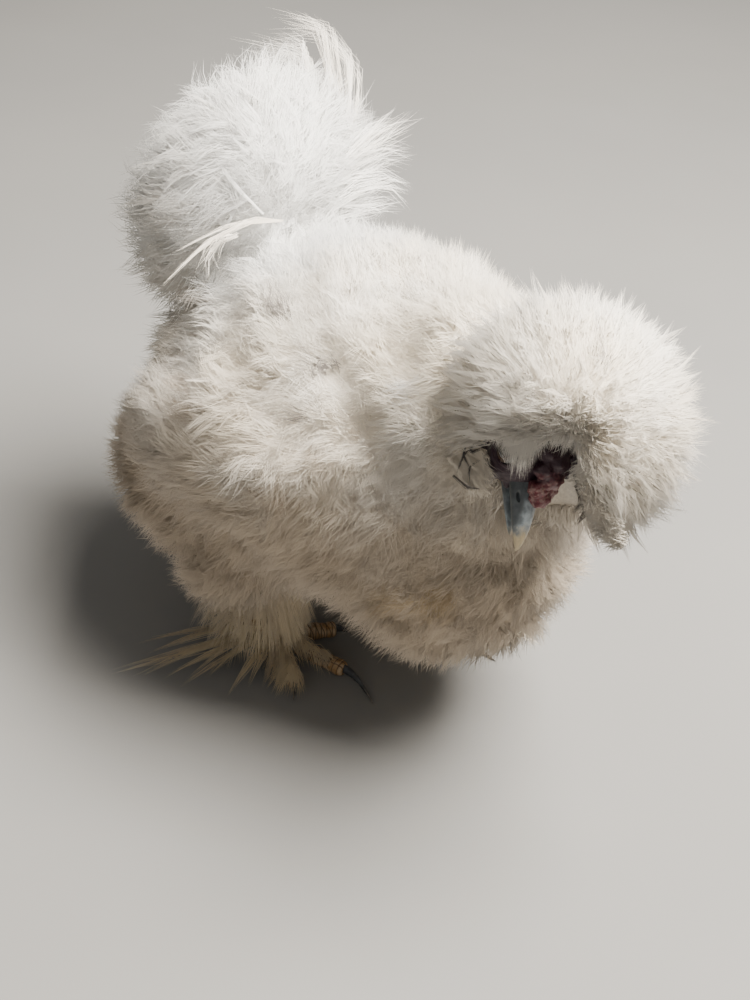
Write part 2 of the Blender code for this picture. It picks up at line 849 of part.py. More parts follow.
def make_shank(group, foot):
    """The shank and the ball of the foot, flat underneath where it stands, with its feathers."""
    cuts = []
    for toe in TOES:
        cuts += [toe_body(foot, toe, GAP)] + toe_feathers(foot, toe, GAP) + [claw_shape(foot, toe, GAP)]
    trims = [half_space([FLOOR], 0), half_space([(UP * FEATHER_LINE, -UP)], GAP / 2)]
    joins = [shank_post(foot, 0)] + shank_locks(foot)
    base = ball_shape(foot, 0)
    finish(f"shank_{foot.label}", base, group, "foot_plumage", joins=joins, trims=trims, cuts=cuts)


def claw_shape(foot, toe, grow):
    """A claw that tapers to a point, dropping towards the floor and swinging to the outer side."""
    root, run, side, lift = toe_line(foot, toe)
    claw = toe.claw * MM
    root = root + run * (toe_reach(toe) + GAP - grow)
    swing = foot.way(toe.degrees + 90) * foot.bend - lift * CLAW_DROP
    rings = []
    for share in (0, 0.3, 0.6, 0.85):
        radius = TOE_RADIUS * 0.56 * (1 - share) ** 0.7 + grow
        centre = root + (run * share + swing * share * share) * claw + lift * 0.4 * MM
        rings.append(ring_at(centre, side, lift, radius * 0.8, radius, 6))
    tip = root + (run + swing) * claw
    tip.z = max(tip.z, 0.6 * MM)
    return loft(rings, tip)


def make_toe(group, foot, toe):
    """One toe, its feathers and its claw, each kept to its own side of the next toe."""
    way = foot.way(toe.degrees)
    sides = []
    for other in TOES:
        near = other is not toe and abs(other.degrees - toe.degrees) < 60
        if near and not toe.rise and not other.rise:
            sides.append((foot.centre, (way - foot.way(other.degrees)).normalized()))
    trims = [half_space([FLOOR] + sides, 0)]
    if sides:
        trims.append(half_space(sides, GAP / 2))
    cuts = [ball_shape(foot, GAP), claw_shape(foot, toe, GAP)]
    if toe.rise:
        cuts.append(shank_post(foot, GAP))
    vanes = toe_feathers(foot, toe, 0)
    label = f"{toe.name}_{foot.label}"
    finish(f"toe_{label}", toe_body(foot, toe, 0), group, "toe_skin", joins=vanes, trims=trims, cuts=cuts)
    trims = [half_space([FLOOR], 0.2 * MM)]
    finish(f"claw_{label}", claw_shape(foot, toe, 0), group, "claw_horn", trims=trims)


def head_ball(place, radii, grow, detail=2):
    """An ellipsoid on the head, at a place and with radii given in millimetres along the head's axes."""
    return ellipsoid(at_head(*place), Vector(radii) * MM + Vector((grow,) * 3), HEAD_TURN, detail)


def eye_ball(side, grow):
    """The eyeball, with its poles out along the line of sight."""
    bm = bmesh.new()
    bmesh.ops.create_uvsphere(bm, u_segments=14, v_segments=8, radius=EYE_RADIUS + grow)
    bmesh.ops.rotate(bm, matrix=UP.rotation_difference(RIGHT).to_matrix(), verts=bm.verts)
    bmesh.ops.translate(bm, vec=at_head(5.5, side * 12.4, 4), verts=bm.verts)
    return bm


def lid_ring(side, grow):
    return head_ball((5.5, side * 11.2, 4), (6.4, 4.4, 5.8), grow)


def wattle(side, grow):
    return head_ball((13, side * 7.2, -12.5), (4.0, 2.4, 6.0), grow)


def lobe(side, grow):
    return head_ball((-5, side * 14.5, -4), (4.2, 2.6, 5.0), grow)


# The walnut comb's bulbs: along the bill, to the right, up the crown, and radius.
COMB_BULBS = (
    (9, 0, 15.5, 6.0),
    (6, 4, 15, 4.6),
    (6, -4, 15, 4.6),
    (12, 4.2, 13.5, 4.4),
    (12, -4.2, 13.5, 4.4),
    (15, 0, 13.5, 5.0),
    (19, 3.0, 9.5, 4.0),
    (19, -3.0, 9.5, 4.0),
    (22, 0, 8.0, 4.4),
)


def comb_bulbs(grow):
    return [head_ball(bulb[:3], bulb[3:] * 3, grow) for bulb in COMB_BULBS]


def face_pieces(grow):
    """All that stands out of the skull, grown by a gap, to cut the plumage round it."""
    pieces = comb_bulbs(grow)
    for side in (-1, 1):
        pieces += [eye_ball(side, grow), lid_ring(side, grow), wattle(side, grow), lobe(side, grow)]
    return pieces


def make_head(group):
    """The skull's bare skin, with lids round the eyes."""
    cuts = [half_space([(at_head(15, 0, 0), FORWARD)], -GAP / 2)]
    cuts += [eye_ball(side, GAP) for side in (-1, 1)]
    lids = [lid_ring(side, 0) for side in (-1, 1)]
    trims = [half_space([HEAD_PLANE], GAP / 2)]
    finish("head", skull_shape(0), group, "face_skin", joins=lids, trims=trims, cuts=cuts)


def make_eyes(group):
    for side, label in ((-1, "left"), (1, "right")):
        finish(f"eye_{label}", eye_ball(side, 0), group, "eye_gloss")


def upper_bill_rings(grow):
    """The upper bill keeps its girth for its first half and rounds off to a point."""
    rings = []
    for share in (0, 0.2, 0.4, 0.6, 0.78, 0.92):
        narrow = (1 - share**1.7) ** 0.75
        centre = SKULL_CENTRE + FORWARD * (BILL_ROOT + GAP / 2 + BILL_LENGTH * share)
        centre -= CROWN * BILL_HOOK * share * share
        half_width = (BILL_HALF_WIDTH + grow) * narrow
        half_height = (BILL_HALF_HEIGHT + grow) * narrow**0.9
        rings.append(ring_at(centre, RIGHT, CROWN, half_width, half_height, 14, 0.55))
    return rings


def upper_bill_space():
    """The upper bill grown by the gap and carried back into the skull."""
    rings = upper_bill_rings(GAP)
    return loft([[point - FORWARD * 4 * MM for point in rings[0]]] + rings)


def make_bill(group):
    """Upper and lower halves of the bill, apart along the mouth's line, with a nostril each side."""
    tip = SKULL_CENTRE + FORWARD * (BILL_ROOT + BILL_LENGTH) - CROWN * 4.6 * MM
    nostrils = [head_ball((21.5, side * 5.6, 2.4), (2.2, 0.9, 0.8), 0) for side in (-1, 1)]
    finish("bill_upper", loft(upper_bill_rings(0), tip), group, "bill_horn", cuts=nostrils)
    lower = []
    for share in (0, 0.25, 0.5, 0.75, 0.92):
        narrow = (1 - share) ** 0.7
        centre = SKULL_CENTRE + FORWARD * (BILL_ROOT + GAP / 2 + LOWER_BILL_LENGTH * share)
        centre -= CROWN * (4.6 + 1.2 * share) * MM
        half_width, half_height = LOWER_BILL_HALF_WIDTH * narrow, LOWER_BILL_HALF_HEIGHT * narrow
        lower.append(ring_at(centre, RIGHT, CROWN, half_width, half_height, 14))
    tip = SKULL_CENTRE + FORWARD * (BILL_ROOT + LOWER_BILL_LENGTH) - CROWN * 5.8 * MM
    finish("bill_lower", loft(lower, tip), group, "bill_horn", cuts=[loft(upper_bill_rings(GAP))])


def make_comb(group):
    """A walnut comb: a cluster of bulbs over the bill's root."""
    bulbs = comb_bulbs(0)
    cuts = [skull_shape(GAP), lid_ring(-1, GAP), lid_ring(1, GAP), upper_bill_space()]
    finish("comb", bulbs[0], group, "comb_skin", joins=bulbs[1:], cuts=cuts)


def make_wattles(group):
    for side, label in ((-1, "left"), (1, "right")):
        finish(f"wattle_{label}", wattle(side, 0), group, "comb_skin", cuts=[skull_shape(GAP)])
        finish(f"lobe_{label}", lobe(side, 0), group, "lobe_skin", cuts=[skull_shape(GAP)])


def stand_on_origin(group):
    """Hangs all parts on one empty, which puts the middle of the bird's box over the origin."""
    points = [vert.co for thing in group.objects for vert in thing.data.vertices]
    low = Vector([min(point[i] for point in points) for i in range(3)])
    high = Vector([max(point[i] for point in points) for i in range(3)])
    bird = bpy.data.objects.new("bird", None)
    bird.location = (-(low.x + high.x) / 2, -(low.y + high.y) / 2, -low.z)
    for thing in group.objects:
        thing.parent = bird
    group.objects.link(bird)


def main():
    random.seed(11)
    clear_scene()
    group = new_group("silkie_chicken")
    make_torso(group)
    make_neck(group)
    make_crest(group)
    make_tail(group)
    make_wing(group, -1, "wing_right")
    make_wing(group, 1, "wing_left")
    make_thigh(group, THIGH_RIGHT, "thigh_right")
    make_thigh(group, THIGH_LEFT, "thigh_left")
    for foot in FEET:
        make_shank(group, foot)
        for toe in TOES:
            make_toe(group, foot, toe)
    make_head(group)
    make_eyes(group)
    make_bill(group)
    make_comb(group)
    make_wattles(group)
    stand_on_origin(group)


main()
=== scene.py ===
"""A silkie chicken, life size: skin, plumage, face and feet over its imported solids, and a studio.

Shapes are worked out in millimetres in the bird's own frame, which faces +X, and are moved onto the
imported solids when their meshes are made.
"""

import json
import math

import bmesh
import bpy
import numpy as np
from bpy.props import FloatProperty, FloatVectorProperty, IntProperty, PointerProperty
from mathutils import Matrix, Vector, kdtree

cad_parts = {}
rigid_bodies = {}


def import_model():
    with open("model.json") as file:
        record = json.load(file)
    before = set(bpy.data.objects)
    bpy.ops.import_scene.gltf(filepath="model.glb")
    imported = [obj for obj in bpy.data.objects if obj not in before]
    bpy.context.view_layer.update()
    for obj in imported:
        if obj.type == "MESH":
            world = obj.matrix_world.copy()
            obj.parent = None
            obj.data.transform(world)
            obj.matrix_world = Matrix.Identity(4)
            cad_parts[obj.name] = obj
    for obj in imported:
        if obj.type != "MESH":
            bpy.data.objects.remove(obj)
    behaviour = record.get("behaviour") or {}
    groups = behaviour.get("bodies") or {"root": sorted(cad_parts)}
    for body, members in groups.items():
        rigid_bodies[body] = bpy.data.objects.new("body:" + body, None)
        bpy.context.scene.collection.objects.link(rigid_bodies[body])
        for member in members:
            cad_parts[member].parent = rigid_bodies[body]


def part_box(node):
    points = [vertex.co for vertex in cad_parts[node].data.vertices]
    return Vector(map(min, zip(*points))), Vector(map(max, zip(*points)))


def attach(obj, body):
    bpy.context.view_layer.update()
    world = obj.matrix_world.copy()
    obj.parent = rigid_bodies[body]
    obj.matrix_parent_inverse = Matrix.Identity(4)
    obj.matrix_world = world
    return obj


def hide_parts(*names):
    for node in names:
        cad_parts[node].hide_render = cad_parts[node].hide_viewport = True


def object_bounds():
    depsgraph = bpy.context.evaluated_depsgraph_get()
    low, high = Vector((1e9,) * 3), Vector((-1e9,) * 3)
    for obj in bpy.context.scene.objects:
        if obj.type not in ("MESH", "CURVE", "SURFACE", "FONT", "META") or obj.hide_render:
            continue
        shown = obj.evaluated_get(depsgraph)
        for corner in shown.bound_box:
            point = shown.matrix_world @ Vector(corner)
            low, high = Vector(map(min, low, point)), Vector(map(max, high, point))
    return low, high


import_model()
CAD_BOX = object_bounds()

bl_info = {
    "name": "Silkie chicken",
    "version": (1, 0, 0),
    "blender": (4, 5, 0),
    "location": "3D View > Sidebar > Silkie",
    "description": "Dresses a silkie chicken's solids in skin, plumage, face and feet",
    "category": "Object",
}

MM = 0.001
UP = np.array((0.0, 0.0, 1.0))
AHEAD = np.array((1.0, 0.0, 0.0))

# The head, turned to the bird's right, bowed and tilted: angles in degrees, sizes in millimetres.
HEAD_YAW = math.radians(-43)
HEAD_BOW = math.radians(50)
HEAD_TILT = math.radians(40)
SKULL_CENTRE = np.array((86.0, -32.0, 188.0))
SKULL_RADII = (18, 15, 16)
EYE_PLACE = (5.5, 12.4, 4)
EYE_RADIUS = 4.6
BILL_ROOT = 15
BILL_LENGTH = 27
LOWER_BILL_LENGTH = 21
BILL_HALF_WIDTH = 6.8
BILL_HALF_HEIGHT = 6.0
BILL_HOOK = 3.2
LOWER_BILL_HALF_WIDTH = 5.4
LOWER_BILL_HALF_HEIGHT = 2.3

# How far below the tips of the coat the down lies, and how deep a tuft is rooted below the tips.
SKIN_LEVEL = -8.0
ROOT_LEVEL = -10.0
CREST_DEPTH = 10.0
TAIL_DEPTH = 10.0
BLEND = 7.0

# The lie of the plumage on each part, and the places it flows away from.
TORSO_HEADING = np.array((-1.0, 0.0, -0.7))
WING_HEADING = np.array((-1.0, 0.0, -0.28))
NECK_HEADING = np.array((-0.86, 0.10, -0.62))
THIGH_HEADING = np.array((-0.35, 0.0, -1.0))
CREST_WHORL = np.array((0.72, -0.30, 0.62)) / math.sqrt(0.72**2 + 0.30**2 + 0.62**2)
TAIL_ROOT = np.array((-58.0, 10.0, 168.0))
TORSO_MIDDLE = np.array((-22.0, 0.0, 132.0))

# The feet: centre, the sign of the outer side along Y, and how far the foot is turned out in degrees.
FEET = {
    "right": (np.array((-33.0, -33.0, 0.0)), -1, -8),
    "left": (np.array((-8.0, 31.0, 0.0)), 1, 1),
}
# How far the claws' tips swing to the foot's outer side, as a share of their length.
CLAW_BEND = {"right": 0.35, "left": 0.0}
CLAW_DROP = 0.35
LEG_LEAN = -6
BELL_DEGREES = 142
SHANK_RADIUS = 8
BALL_RADIUS = 10.5
BALL_HEIGHT = 8
TOE_RADIUS = 4.6
SCUTE_PITCH = 2.7
# Each toe: degrees from forward towards the outer side, length, height of its root, length of its claw.
TOES = {
    "inner": (-45, 19, 0, 8),
    "middle": (0, 30, 0, 21),
    "outer": (40, 23, 0, 9),
    "hind": (166, 17, 0, 9),
    "fifth": (206, 15, 9, 11),
}
FLESH = ["torso", "neck", "head", "crest", "tail"]
FLESH += [f"{part}_{side}" for side in FEET for part in ("wing", "thigh", "shank")]
FLESH += [f"toe_{toe}_{side}" for side in FEET for toe in TOES]


def unit(ways):
    """The ways, each with a length of one."""
    return ways / np.maximum(np.linalg.norm(ways, axis=-1, keepdims=True), 1e-9)


def head_axes():
    """Forward along the bill, up through the crown, and the head's own right."""
    level = np.array((math.cos(HEAD_YAW), math.sin(HEAD_YAW), 0))
    forward = math.cos(HEAD_BOW) * level - math.sin(HEAD_BOW) * UP
    crown = math.sin(HEAD_BOW) * level + math.cos(HEAD_BOW) * UP
    crown = math.cos(HEAD_TILT) * crown - math.sin(HEAD_TILT) * np.cross(forward, crown)
    return forward, crown, np.cross(forward, crown)


FORWARD, CROWN, RIGHT = head_axes()
HEAD_TURN = Matrix((FORWARD, -RIGHT, CROWN)).transposed()


def at_head(forward, right, crown):
    """A place given along the head's own axes from the skull's centre."""
    return SKULL_CENTRE + forward * FORWARD + right * RIGHT + crown * CROWN


def middle_of(node):
    """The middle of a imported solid, in millimetres."""
    low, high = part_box(node)
    return (np.array(low) + np.array(high)) / 2 / MM


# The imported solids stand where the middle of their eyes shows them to.
SHIFT = (middle_of("eye_left") + middle_of("eye_right")) / 2 - at_head(EYE_PLACE[0], 0, EYE_PLACE[2])


class Form:
    """A soft swelling of the bird's outline, out to the tips of the plumage: an ellipsoid."""

    def __init__(self, centre, radii, pitch=0):
        self.centre = np.array(centre, float)
        self.radii = np.array(radii, float)
        self.turn = np.array(Matrix.Rotation(math.radians(pitch), 3, "Y"))

    def reach(self, ways):
        """How far the surface lies from the centre along unit ways."""
        return 1 / np.linalg.norm(ways @ self.turn / self.radii, axis=-1)

    def distance(self, points):
        """Signed distances to the surface, along lines from the centre."""
        off = points - self.centre
        far = np.maximum(np.linalg.norm(off, axis=-1), 1e-6)
        return far - self.reach(off / far[..., None])

    def surface(self, ways, sink=0.0):
        return self.centre + ways * (self.reach(ways) - sink)[..., None]


class Crest(Form):
    """The globe of the crest, which slopes down to the face and leaves it open."""

    def reach(self, ways):
        whole = super().reach(ways)
        far = np.zeros_like(whole)
        step = whole / CREST_STEPS
        clear = np.ones(whole.shape, bool)
        for _ in range(CREST_STEPS):
            clear &= self.covers(self.centre + ways * (far + step)[..., None])
            far = np.where(clear, far + step, far)
        for _ in range(4):
            step = step / 2
            free = ~clear & self.covers(self.centre + ways * (far + step)[..., None])
            far = np.where(free, far + step, far)
        return far

    def covers(self, points):
        return ~(in_face(points) | under_crest(points))


# The plumage parts over the face and the bill: the way it is open to, and that opening's own axes and
# sizes. It rises from the opening's rim in a slope.
FACE_WAY = unit(np.array((0.48, -0.61, 0.63)))
FACE_ACROSS = unit(np.cross(UP, FACE_WAY))
FACE_LIFT = np.cross(FACE_WAY, FACE_ACROSS)
FACE_MIDDLE = np.array((96.3, -40.6, 180.8))
FACE_LEFT = -16
FACE_RIGHT = 16
FACE_TOP = 12
FACE_FOOT = -29
FACE_TAPER = 0.375
FACE_FLOOR = -6
FACE_RIM = 12
FACE_SLOPE = 1.7
FACE_EASE = 6
CREST_EDGE = -10
CREST_CORNER = 24
CREST_STEPS = 32


def at_face(across, lift, out):
    """A place given across the opening over the face, up it and out of it."""
    return FACE_MIDDLE + across * FACE_ACROSS + lift * FACE_LIFT + out * FACE_WAY


def in_face(points):
    """Whether points are in the space that the plumage leaves open over the face and the bill."""
    off = points - FACE_MIDDLE
    out = off @ FACE_WAY
    across, lift = off @ FACE_ACROSS, off @ FACE_LIFT
    left = FACE_LEFT + FACE_TAPER * (10 - lift)
    right = np.clip(FACE_RIGHT + 1.5 * (lift + 2), 5, FACE_RIGHT)
    aside = np.maximum(np.maximum(left - across, across - right), np.maximum(lift - FACE_TOP, FACE_FOOT - lift))
    return (out > FACE_FLOOR) & ((aside < 0) | (out > FACE_RIM + FACE_SLOPE * (aside + FACE_EASE)))


def under_crest(points):
    """Whether points are in the space below the crest's lower edge, where the breast shows beside the bill."""
    off = points - FACE_MIDDLE
    drop = CREST_EDGE - off @ FACE_LIFT
    return (off @ FACE_WAY > FACE_FLOOR) & (drop > 0) & (off @ FACE_ACROSS < CREST_CORNER + 0.8 * drop)


BODY = Form((-19, 0, 131), (101, 81, 80), -9)
BREAST = Form((36, 0, 111), (65, 64, 79))
VENT = Form((-77, -6, 93), (53, 78, 48))
NECK = Form((52, -9, 170), (46, 47, 49))
CREST = Crest((98, -22, 197), (49, 45, 48))
TAIL = Form((-101, 17, 199), (37, 69, 59))
THIGHS = {"right": Form((-48, -46, 73), (36, 34, 44)), "left": Form((-20, 38, 76), (42, 31, 42))}
WINGS = {side: Form((-30, FEET[side][1] * 66, 138), (62, 28, 34), -10) for side in FEET}
FORMS = [BODY, BREAST, VENT, NECK, TAIL, *THIGHS.values(), *WINGS.values()]


def billow(points):
    """The soft heaps that loose plumage settles into, in millimetres."""
    x, y, z = np.moveaxis(points, -1, 0)
    broad = np.sin(x / 10 + 1.6 * np.sin(z / 15)) * np.sin(z / 9 + y / 14 + 0.7)
    small = np.sin(x / 5.3 + 2.1) * np.sin(z / 4.9 + 1.2 * np.sin(y / 9))
    return 2.2 * broad + 0.8 * small


def coat_distance(points):
    """Signed distances to the tips of the coat, over all forms, blended where they meet."""
    near = np.stack([form.distance(points) for form in FORMS])
    least = near.min(axis=0)
    return least - BLEND * np.log(np.exp((least - near) / BLEND).sum(axis=0)) - billow(points)


def coat_normals(points):
    step = 0.5 * np.eye(3)
    slope = [coat_distance(points + axis) - coat_distance(points - axis) for axis in step]
    return unit(np.stack(slope, axis=-1))


def on_level(points, level):
    """The points moved along the coat's normals to a signed distance from the tips."""
    for _ in range(3):
        points = points - coat_normals(points) * (coat_distance(points) - level)[..., None]
    return points


def coat_points(centre, ways, level, reach):
    """Where lines out of a centre first come up to one level of the coat."""
    step = reach / 24
    low = np.zeros(len(ways))
    rising = np.ones(len(ways), bool)
    for _ in range(24):
        inside = coat_distance(centre + ways * (low + step)[:, None]) < level
        rising &= inside
        low[rising] += step
    high = low + step
    for _ in range(10):
        middle = (low + high) / 2
        inside = coat_distance(centre + ways * middle[:, None]) < level
        low = np.where(inside, middle, low)
        high = np.where(inside, high, middle)
    return centre + ways * low[:, None]


def sphere_ways(count, rng):
    """Unit ways spread evenly over a sphere, in a shuffled order."""
    index = np.arange(count)
    z = 1 - 2 * (index + 0.5) / count
    r = np.sqrt(1 - z * z)
    angle = index * math.pi * (3 - math.sqrt(5))
    return rng.permutation(np.stack((r * np.cos(angle), r * np.sin(angle), z), axis=1))


def spread(points, spacing):
    """Which of the points to keep so that they stay their spacings apart, the first ones first."""
    spacing = np.broadcast_to(spacing, len(points))
    tree = kdtree.KDTree(len(points))
    for index, point in enumerate(points):
        tree.insert(point, index)
    tree.balance()
    free = np.ones(len(points), bool)
    kept = []
    for index, point in enumerate(points):
        if free[index]:
            kept.append(index)
            for _, other, _ in tree.find_range(point, spacing[index]):
                free[other] = False
    return np.array(kept)


def turned(ways, axes, angles):
    """Each way turned about its own unit axis, which it is square to, by an angle in radians."""
    return ways * np.cos(angles)[:, None] + np.cross(axes, ways) * np.sin(angles)[:, None]


def laid_flat(ways, normals):
    """The ways laid into the surface that has these normals."""
    return unit(ways - normals * (ways * normals).sum(axis=1, keepdims=True))


def swirl(points):
    """A slow wander in the lie of the plumage, in radians, the same for neighbouring places."""
    x, y, z = points.T
    first = np.sin(x / 19 + 1.7 * np.sin(y / 23 + 0.4) + 0.8)
    second = np.sin(z / 16 + y / 27 + 1.3 * np.sin(x / 31))
    return 0.17 * (first + second)


# Pieces


def add_piece(name, mesh, material, nodes):
    """A finished piece of the bird, at the origin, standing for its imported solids."""
    piece = bpy.data.objects.new(name, mesh)
    bpy.context.scene.collection.objects.link(piece)
    if material is not None:
        mesh.materials.clear()
        mesh.materials.append(material)
    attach(piece, "root")
    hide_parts(*nodes)
    return piece


def mesh_from(bm, name):
    """A mesh of a bmesh in millimetres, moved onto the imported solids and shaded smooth."""
    bmesh.ops.recalc_face_normals(bm, faces=bm.faces)
    bmesh.ops.translate(bm, vec=SHIFT, verts=bm.verts)
    bmesh.ops.scale(bm, vec=(MM,) * 3, verts=bm.verts)
    mesh = bpy.data.meshes.new(name)
    bm.to_mesh(mesh)
    bm.free()
    mesh.shade_smooth()
    return mesh


def ball(bm, centre, radii, turn=None, detail=4):
    """A ball added to a bmesh, stretched to its radii, turned and placed."""
    verts = bmesh.ops.create_icosphere(bm, subdivisions=detail, radius=1)["verts"]
    bmesh.ops.scale(bm, vec=radii, verts=verts)
    if turn is not None:
        bmesh.ops.rotate(bm, matrix=turn, verts=verts)
    bmesh.ops.translate(bm, vec=centre, verts=verts)
    return verts


def head_ball(bm, place, radii, detail=4):
    return ball(bm, at_head(*place), radii, HEAD_TURN, detail)


def loft(bm, rings, tip=None):
    """Extrudes a ring of edges through rings of points, and closes it with a cap or in one point."""
    start = bmesh.ops.create_circle(bm, segments=len(rings[0]), radius=1)["verts"]
    made = list(start)
    for vert, point in zip(start, rings[0]):
        vert.co = point
    edges = list({edge for vert in start for edge in vert.link_edges})
    caps = [edges]
    for ring in rings[1:]:
        order = {tuple(vert.co): index for index, vert in enumerate(start)}
        grown = bmesh.ops.extrude_edge_only(bm, edges=edges)["geom"]
        verts = [item for item in grown if isinstance(item, bmesh.types.BMVert)]
        start = sorted(verts, key=lambda vert: order[tuple(vert.co)])
        edges = [item for item in grown if isinstance(item, bmesh.types.BMEdge) and item.is_boundary]
        for vert, point in zip(start, ring):
            vert.co = point
        made += start
    caps.append(edges)
    for rim in caps:
        bmesh.ops.edgeloop_fill(bm, edges=rim)
    if tip is not None:
        end = [face for face in bm.faces if set(face.verts) == set(start)]
        bmesh.ops.poke(bm, faces=end)
        made += [vert for vert in bm.verts[:][-1:]]
        made[-1].co = tip
    return made


def ring(centre, side, upward, half_width, half_height, count, ridge=0.0, flat=0.0):
    """Points round an oval, with a ridge along its top and its lower half flattened by shares."""
    angle = 2 * math.pi * np.arange(count) / count
    rise = np.sin(angle)
    rise = np.where(rise < 0, rise * (1 - flat), rise + ridge * np.maximum(rise, 0) ** 8)
    across = np.cos(angle) * (1 - ridge * np.maximum(rise, 0) ** 2 * 0.5)
    return centre + np.outer(across * half_width, side) + np.outer(rise * half_height, upward)


def applied(mesh, kind, **settings):
    """The mesh after one modifier, as a new mesh."""
    thing = bpy.data.objects.new("work", mesh)
    bpy.context.scene.collection.objects.link(thing)
    change = thing.modifiers.new("work", kind)
    for name, value in settings.items():
        setattr(change, name, value)
    bpy.context.view_layer.update()
    graph = bpy.context.evaluated_depsgraph_get()
    made = bpy.data.meshes.new_from_object(thing.evaluated_get(graph))
    bpy.data.objects.remove(thing)
    bpy.data.meshes.remove(mesh)
    return made


def fused(bm, voxel, rounds):
    """The overlapping bodies of a bmesh as one skin, its creases worn round by a few rounds of smoothing."""
    mesh = bpy.data.meshes.new("work")
    bm.to_mesh(mesh)
    bm.free()
    mesh = applied(mesh, "REMESH", mode="VOXEL", voxel_size=voxel)
    bm = bmesh.new()
    bm.from_mesh(mesh)
    bpy.data.meshes.remove(mesh)
    for _ in range(rounds):
        bmesh.ops.smooth_vert(
            bm, verts=bm.verts, factor=0.5, use_axis_x=True, use_axis_y=True, use_axis_z=True
        )
    return bm


def joined(shapes, operation="UNION"):
    """One closed bmesh of several closed ones, the first changed by the others."""
    first, *others = shapes
    group = bpy.data.collections.new("work")
    bpy.context.scene.collection.children.link(group)
    for bm in others:
        bmesh.ops.recalc_face_normals(bm, faces=bm.faces)
        mesh = bpy.data.meshes.new("work")
        bm.to_mesh(mesh)
        bm.free()
        group.objects.link(bpy.data.objects.new("work", mesh))
    bmesh.ops.recalc_face_normals(first, faces=first.faces)
    mesh = bpy.data.meshes.new("work")
    first.to_mesh(mesh)
    first.free()
    mesh = applied(
        mesh,
        "BOOLEAN",
        operation=operation,
        operand_type="COLLECTION",
        collection=group,
        solver="MANIFOLD",
    )
    for thing in list(group.objects):
        bpy.data.objects.remove(thing)
    bpy.data.collections.remove(group)
    whole = bmesh.new()
    whole.from_mesh(mesh)
    bpy.data.meshes.remove(mesh)
    return whole


# Materials


class Nodes:
    """Builds a node tree: each new node takes sockets or values for its inputs."""

    def __init__(self, tree):
        self.tree = tree

    def add(self, kind, inputs=(), **settings):
        made = self.tree.nodes.new(kind)
        for name, value in settings.items():
            setattr(made, name, value)
        for slot, value in dict(inputs).items():
            self.feed(made.inputs[slot], value)
        return made

    def feed(self, socket, value):
        if isinstance(value, bpy.types.NodeSocket):
            self.tree.links.new(value, socket)
        else:
            socket.default_value = value

    def math(self, operation, first, second=0.0):
        return self.add("ShaderNodeMath", {0: first, 1: second}, operation=operation).outputs[0]

    def vector(self, operation, first, second=(0, 0, 0)):
        made = self.add("ShaderNodeVectorMath", {0: first, 1: second}, operation=operation)
        return made.outputs["Value" if operation in ("DISTANCE", "DOT_PRODUCT", "LENGTH") else "Vector"]

    def span(self, value, low, high, to_low=0.0, to_high=1.0):
        """The value's place between two limits, eased in and out."""
        inputs = {"Value": value, "From Min": low, "From Max": high, "To Min": to_low, "To Max": to_high}
        return self.add("ShaderNodeMapRange", inputs, interpolation_type="SMOOTHSTEP").outputs["Result"]

    def noise(self, place, scale, detail=3.0, rough=0.55):
        inputs = {"Vector": place, "Scale": scale, "Detail": detail, "Roughness": rough}
        return self.add("ShaderNodeTexNoise", inputs).outputs["Fac"]

    def mix(self, share, first, second, blend="MIX"):
        made = self.add("ShaderNodeMix", data_type="RGBA", blend_type=blend)
        self.feed(made.inputs[0], share)
        self.feed(made.inputs[6], first)
        self.feed(made.inputs[7], second)
        return made.outputs[2]

    def bump(self, height, strength, depth):
        inputs = {"Height": height, "Strength": strength, "Distance": depth}
        return self.add("ShaderNodeBump", inputs).outputs["Normal"]


def new_material(name):
    """A material with its node builder, its shader and its object coordinates."""
    material = bpy.data.materials.new(name)
    material.use_nodes = True
    nodes = Nodes(material.node_tree)
    shader = material.node_tree.nodes["Principled BSDF"]
    place = nodes.add("ShaderNodeTexCoord").outputs["Object"]
    return material, nodes, shader, place


def opaque(colour, share=1.0):
    return (*(channel * share for channel in colour), 1.0)


# Darker and stained places in the plumage: middle, radius, which colour, and how strongly it shows.
MARKS = (
    ((41, -47, 197), 8, "white", 0.9),
    ((-45, -38, 196), 7, "grey", 0.9),
    ((-36, -38, 198), 8, "grey", 0.9),
    ((1, -53, 190), 8, "grey", 0.9),
    ((-6, -54, 190), 6, "grey", 0.7),
    ((5, -71, 173), 4, "grey", 0.9),
    ((12, -69, 172), 4, "grey", 0.9),
    ((19, -66, 172), 4, "grey", 0.9),
    ((25, -63, 173), 5, "brown", 0.7),
    ((21, -76, 161), 5, "brown", 0.7),
    ((24, -77, 154), 5, "grey", 0.6),
    ((11, -86, 142), 5, "brown", 0.6),
    ((2, -88, 142), 7, "brown", 0.6),
    ((-56, -77, 162), 10, "brown", 0.7),
    ((-44, -83, 160), 9, "brown", 0.6),
    ((-81, -33, 220), 7, "grey", 0.7),
    ((-68, 2, 215), 8, "grey", 0.7),
    ((-84, -50, 174), 12, "brown", 0.8),
    ((113, -31, 240), 6, "grey", 0.7),
    ((84, -62, 189), 7, "brown", 0.6),
    ((114, -49, 182), 8, "stain", 0.8),
    ((54, -60, 97), 13, "stain", 0.7),
    ((69, -53, 103), 13, "stain", 0.6),
    ((22, 60, 160), 11, "grey", 0.6),
    ((-40, 56, 186), 12, "grey", 0.7),
    ((48, 58, 100), 18, "stain", 0.6),
    ((-116, 40, 190), 14, "grey", 0.5),
)


def to_frame(place):
    """A place in the bird's millimetres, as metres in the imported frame."""
    return tuple((np.array(place, float) + SHIFT) * MM)


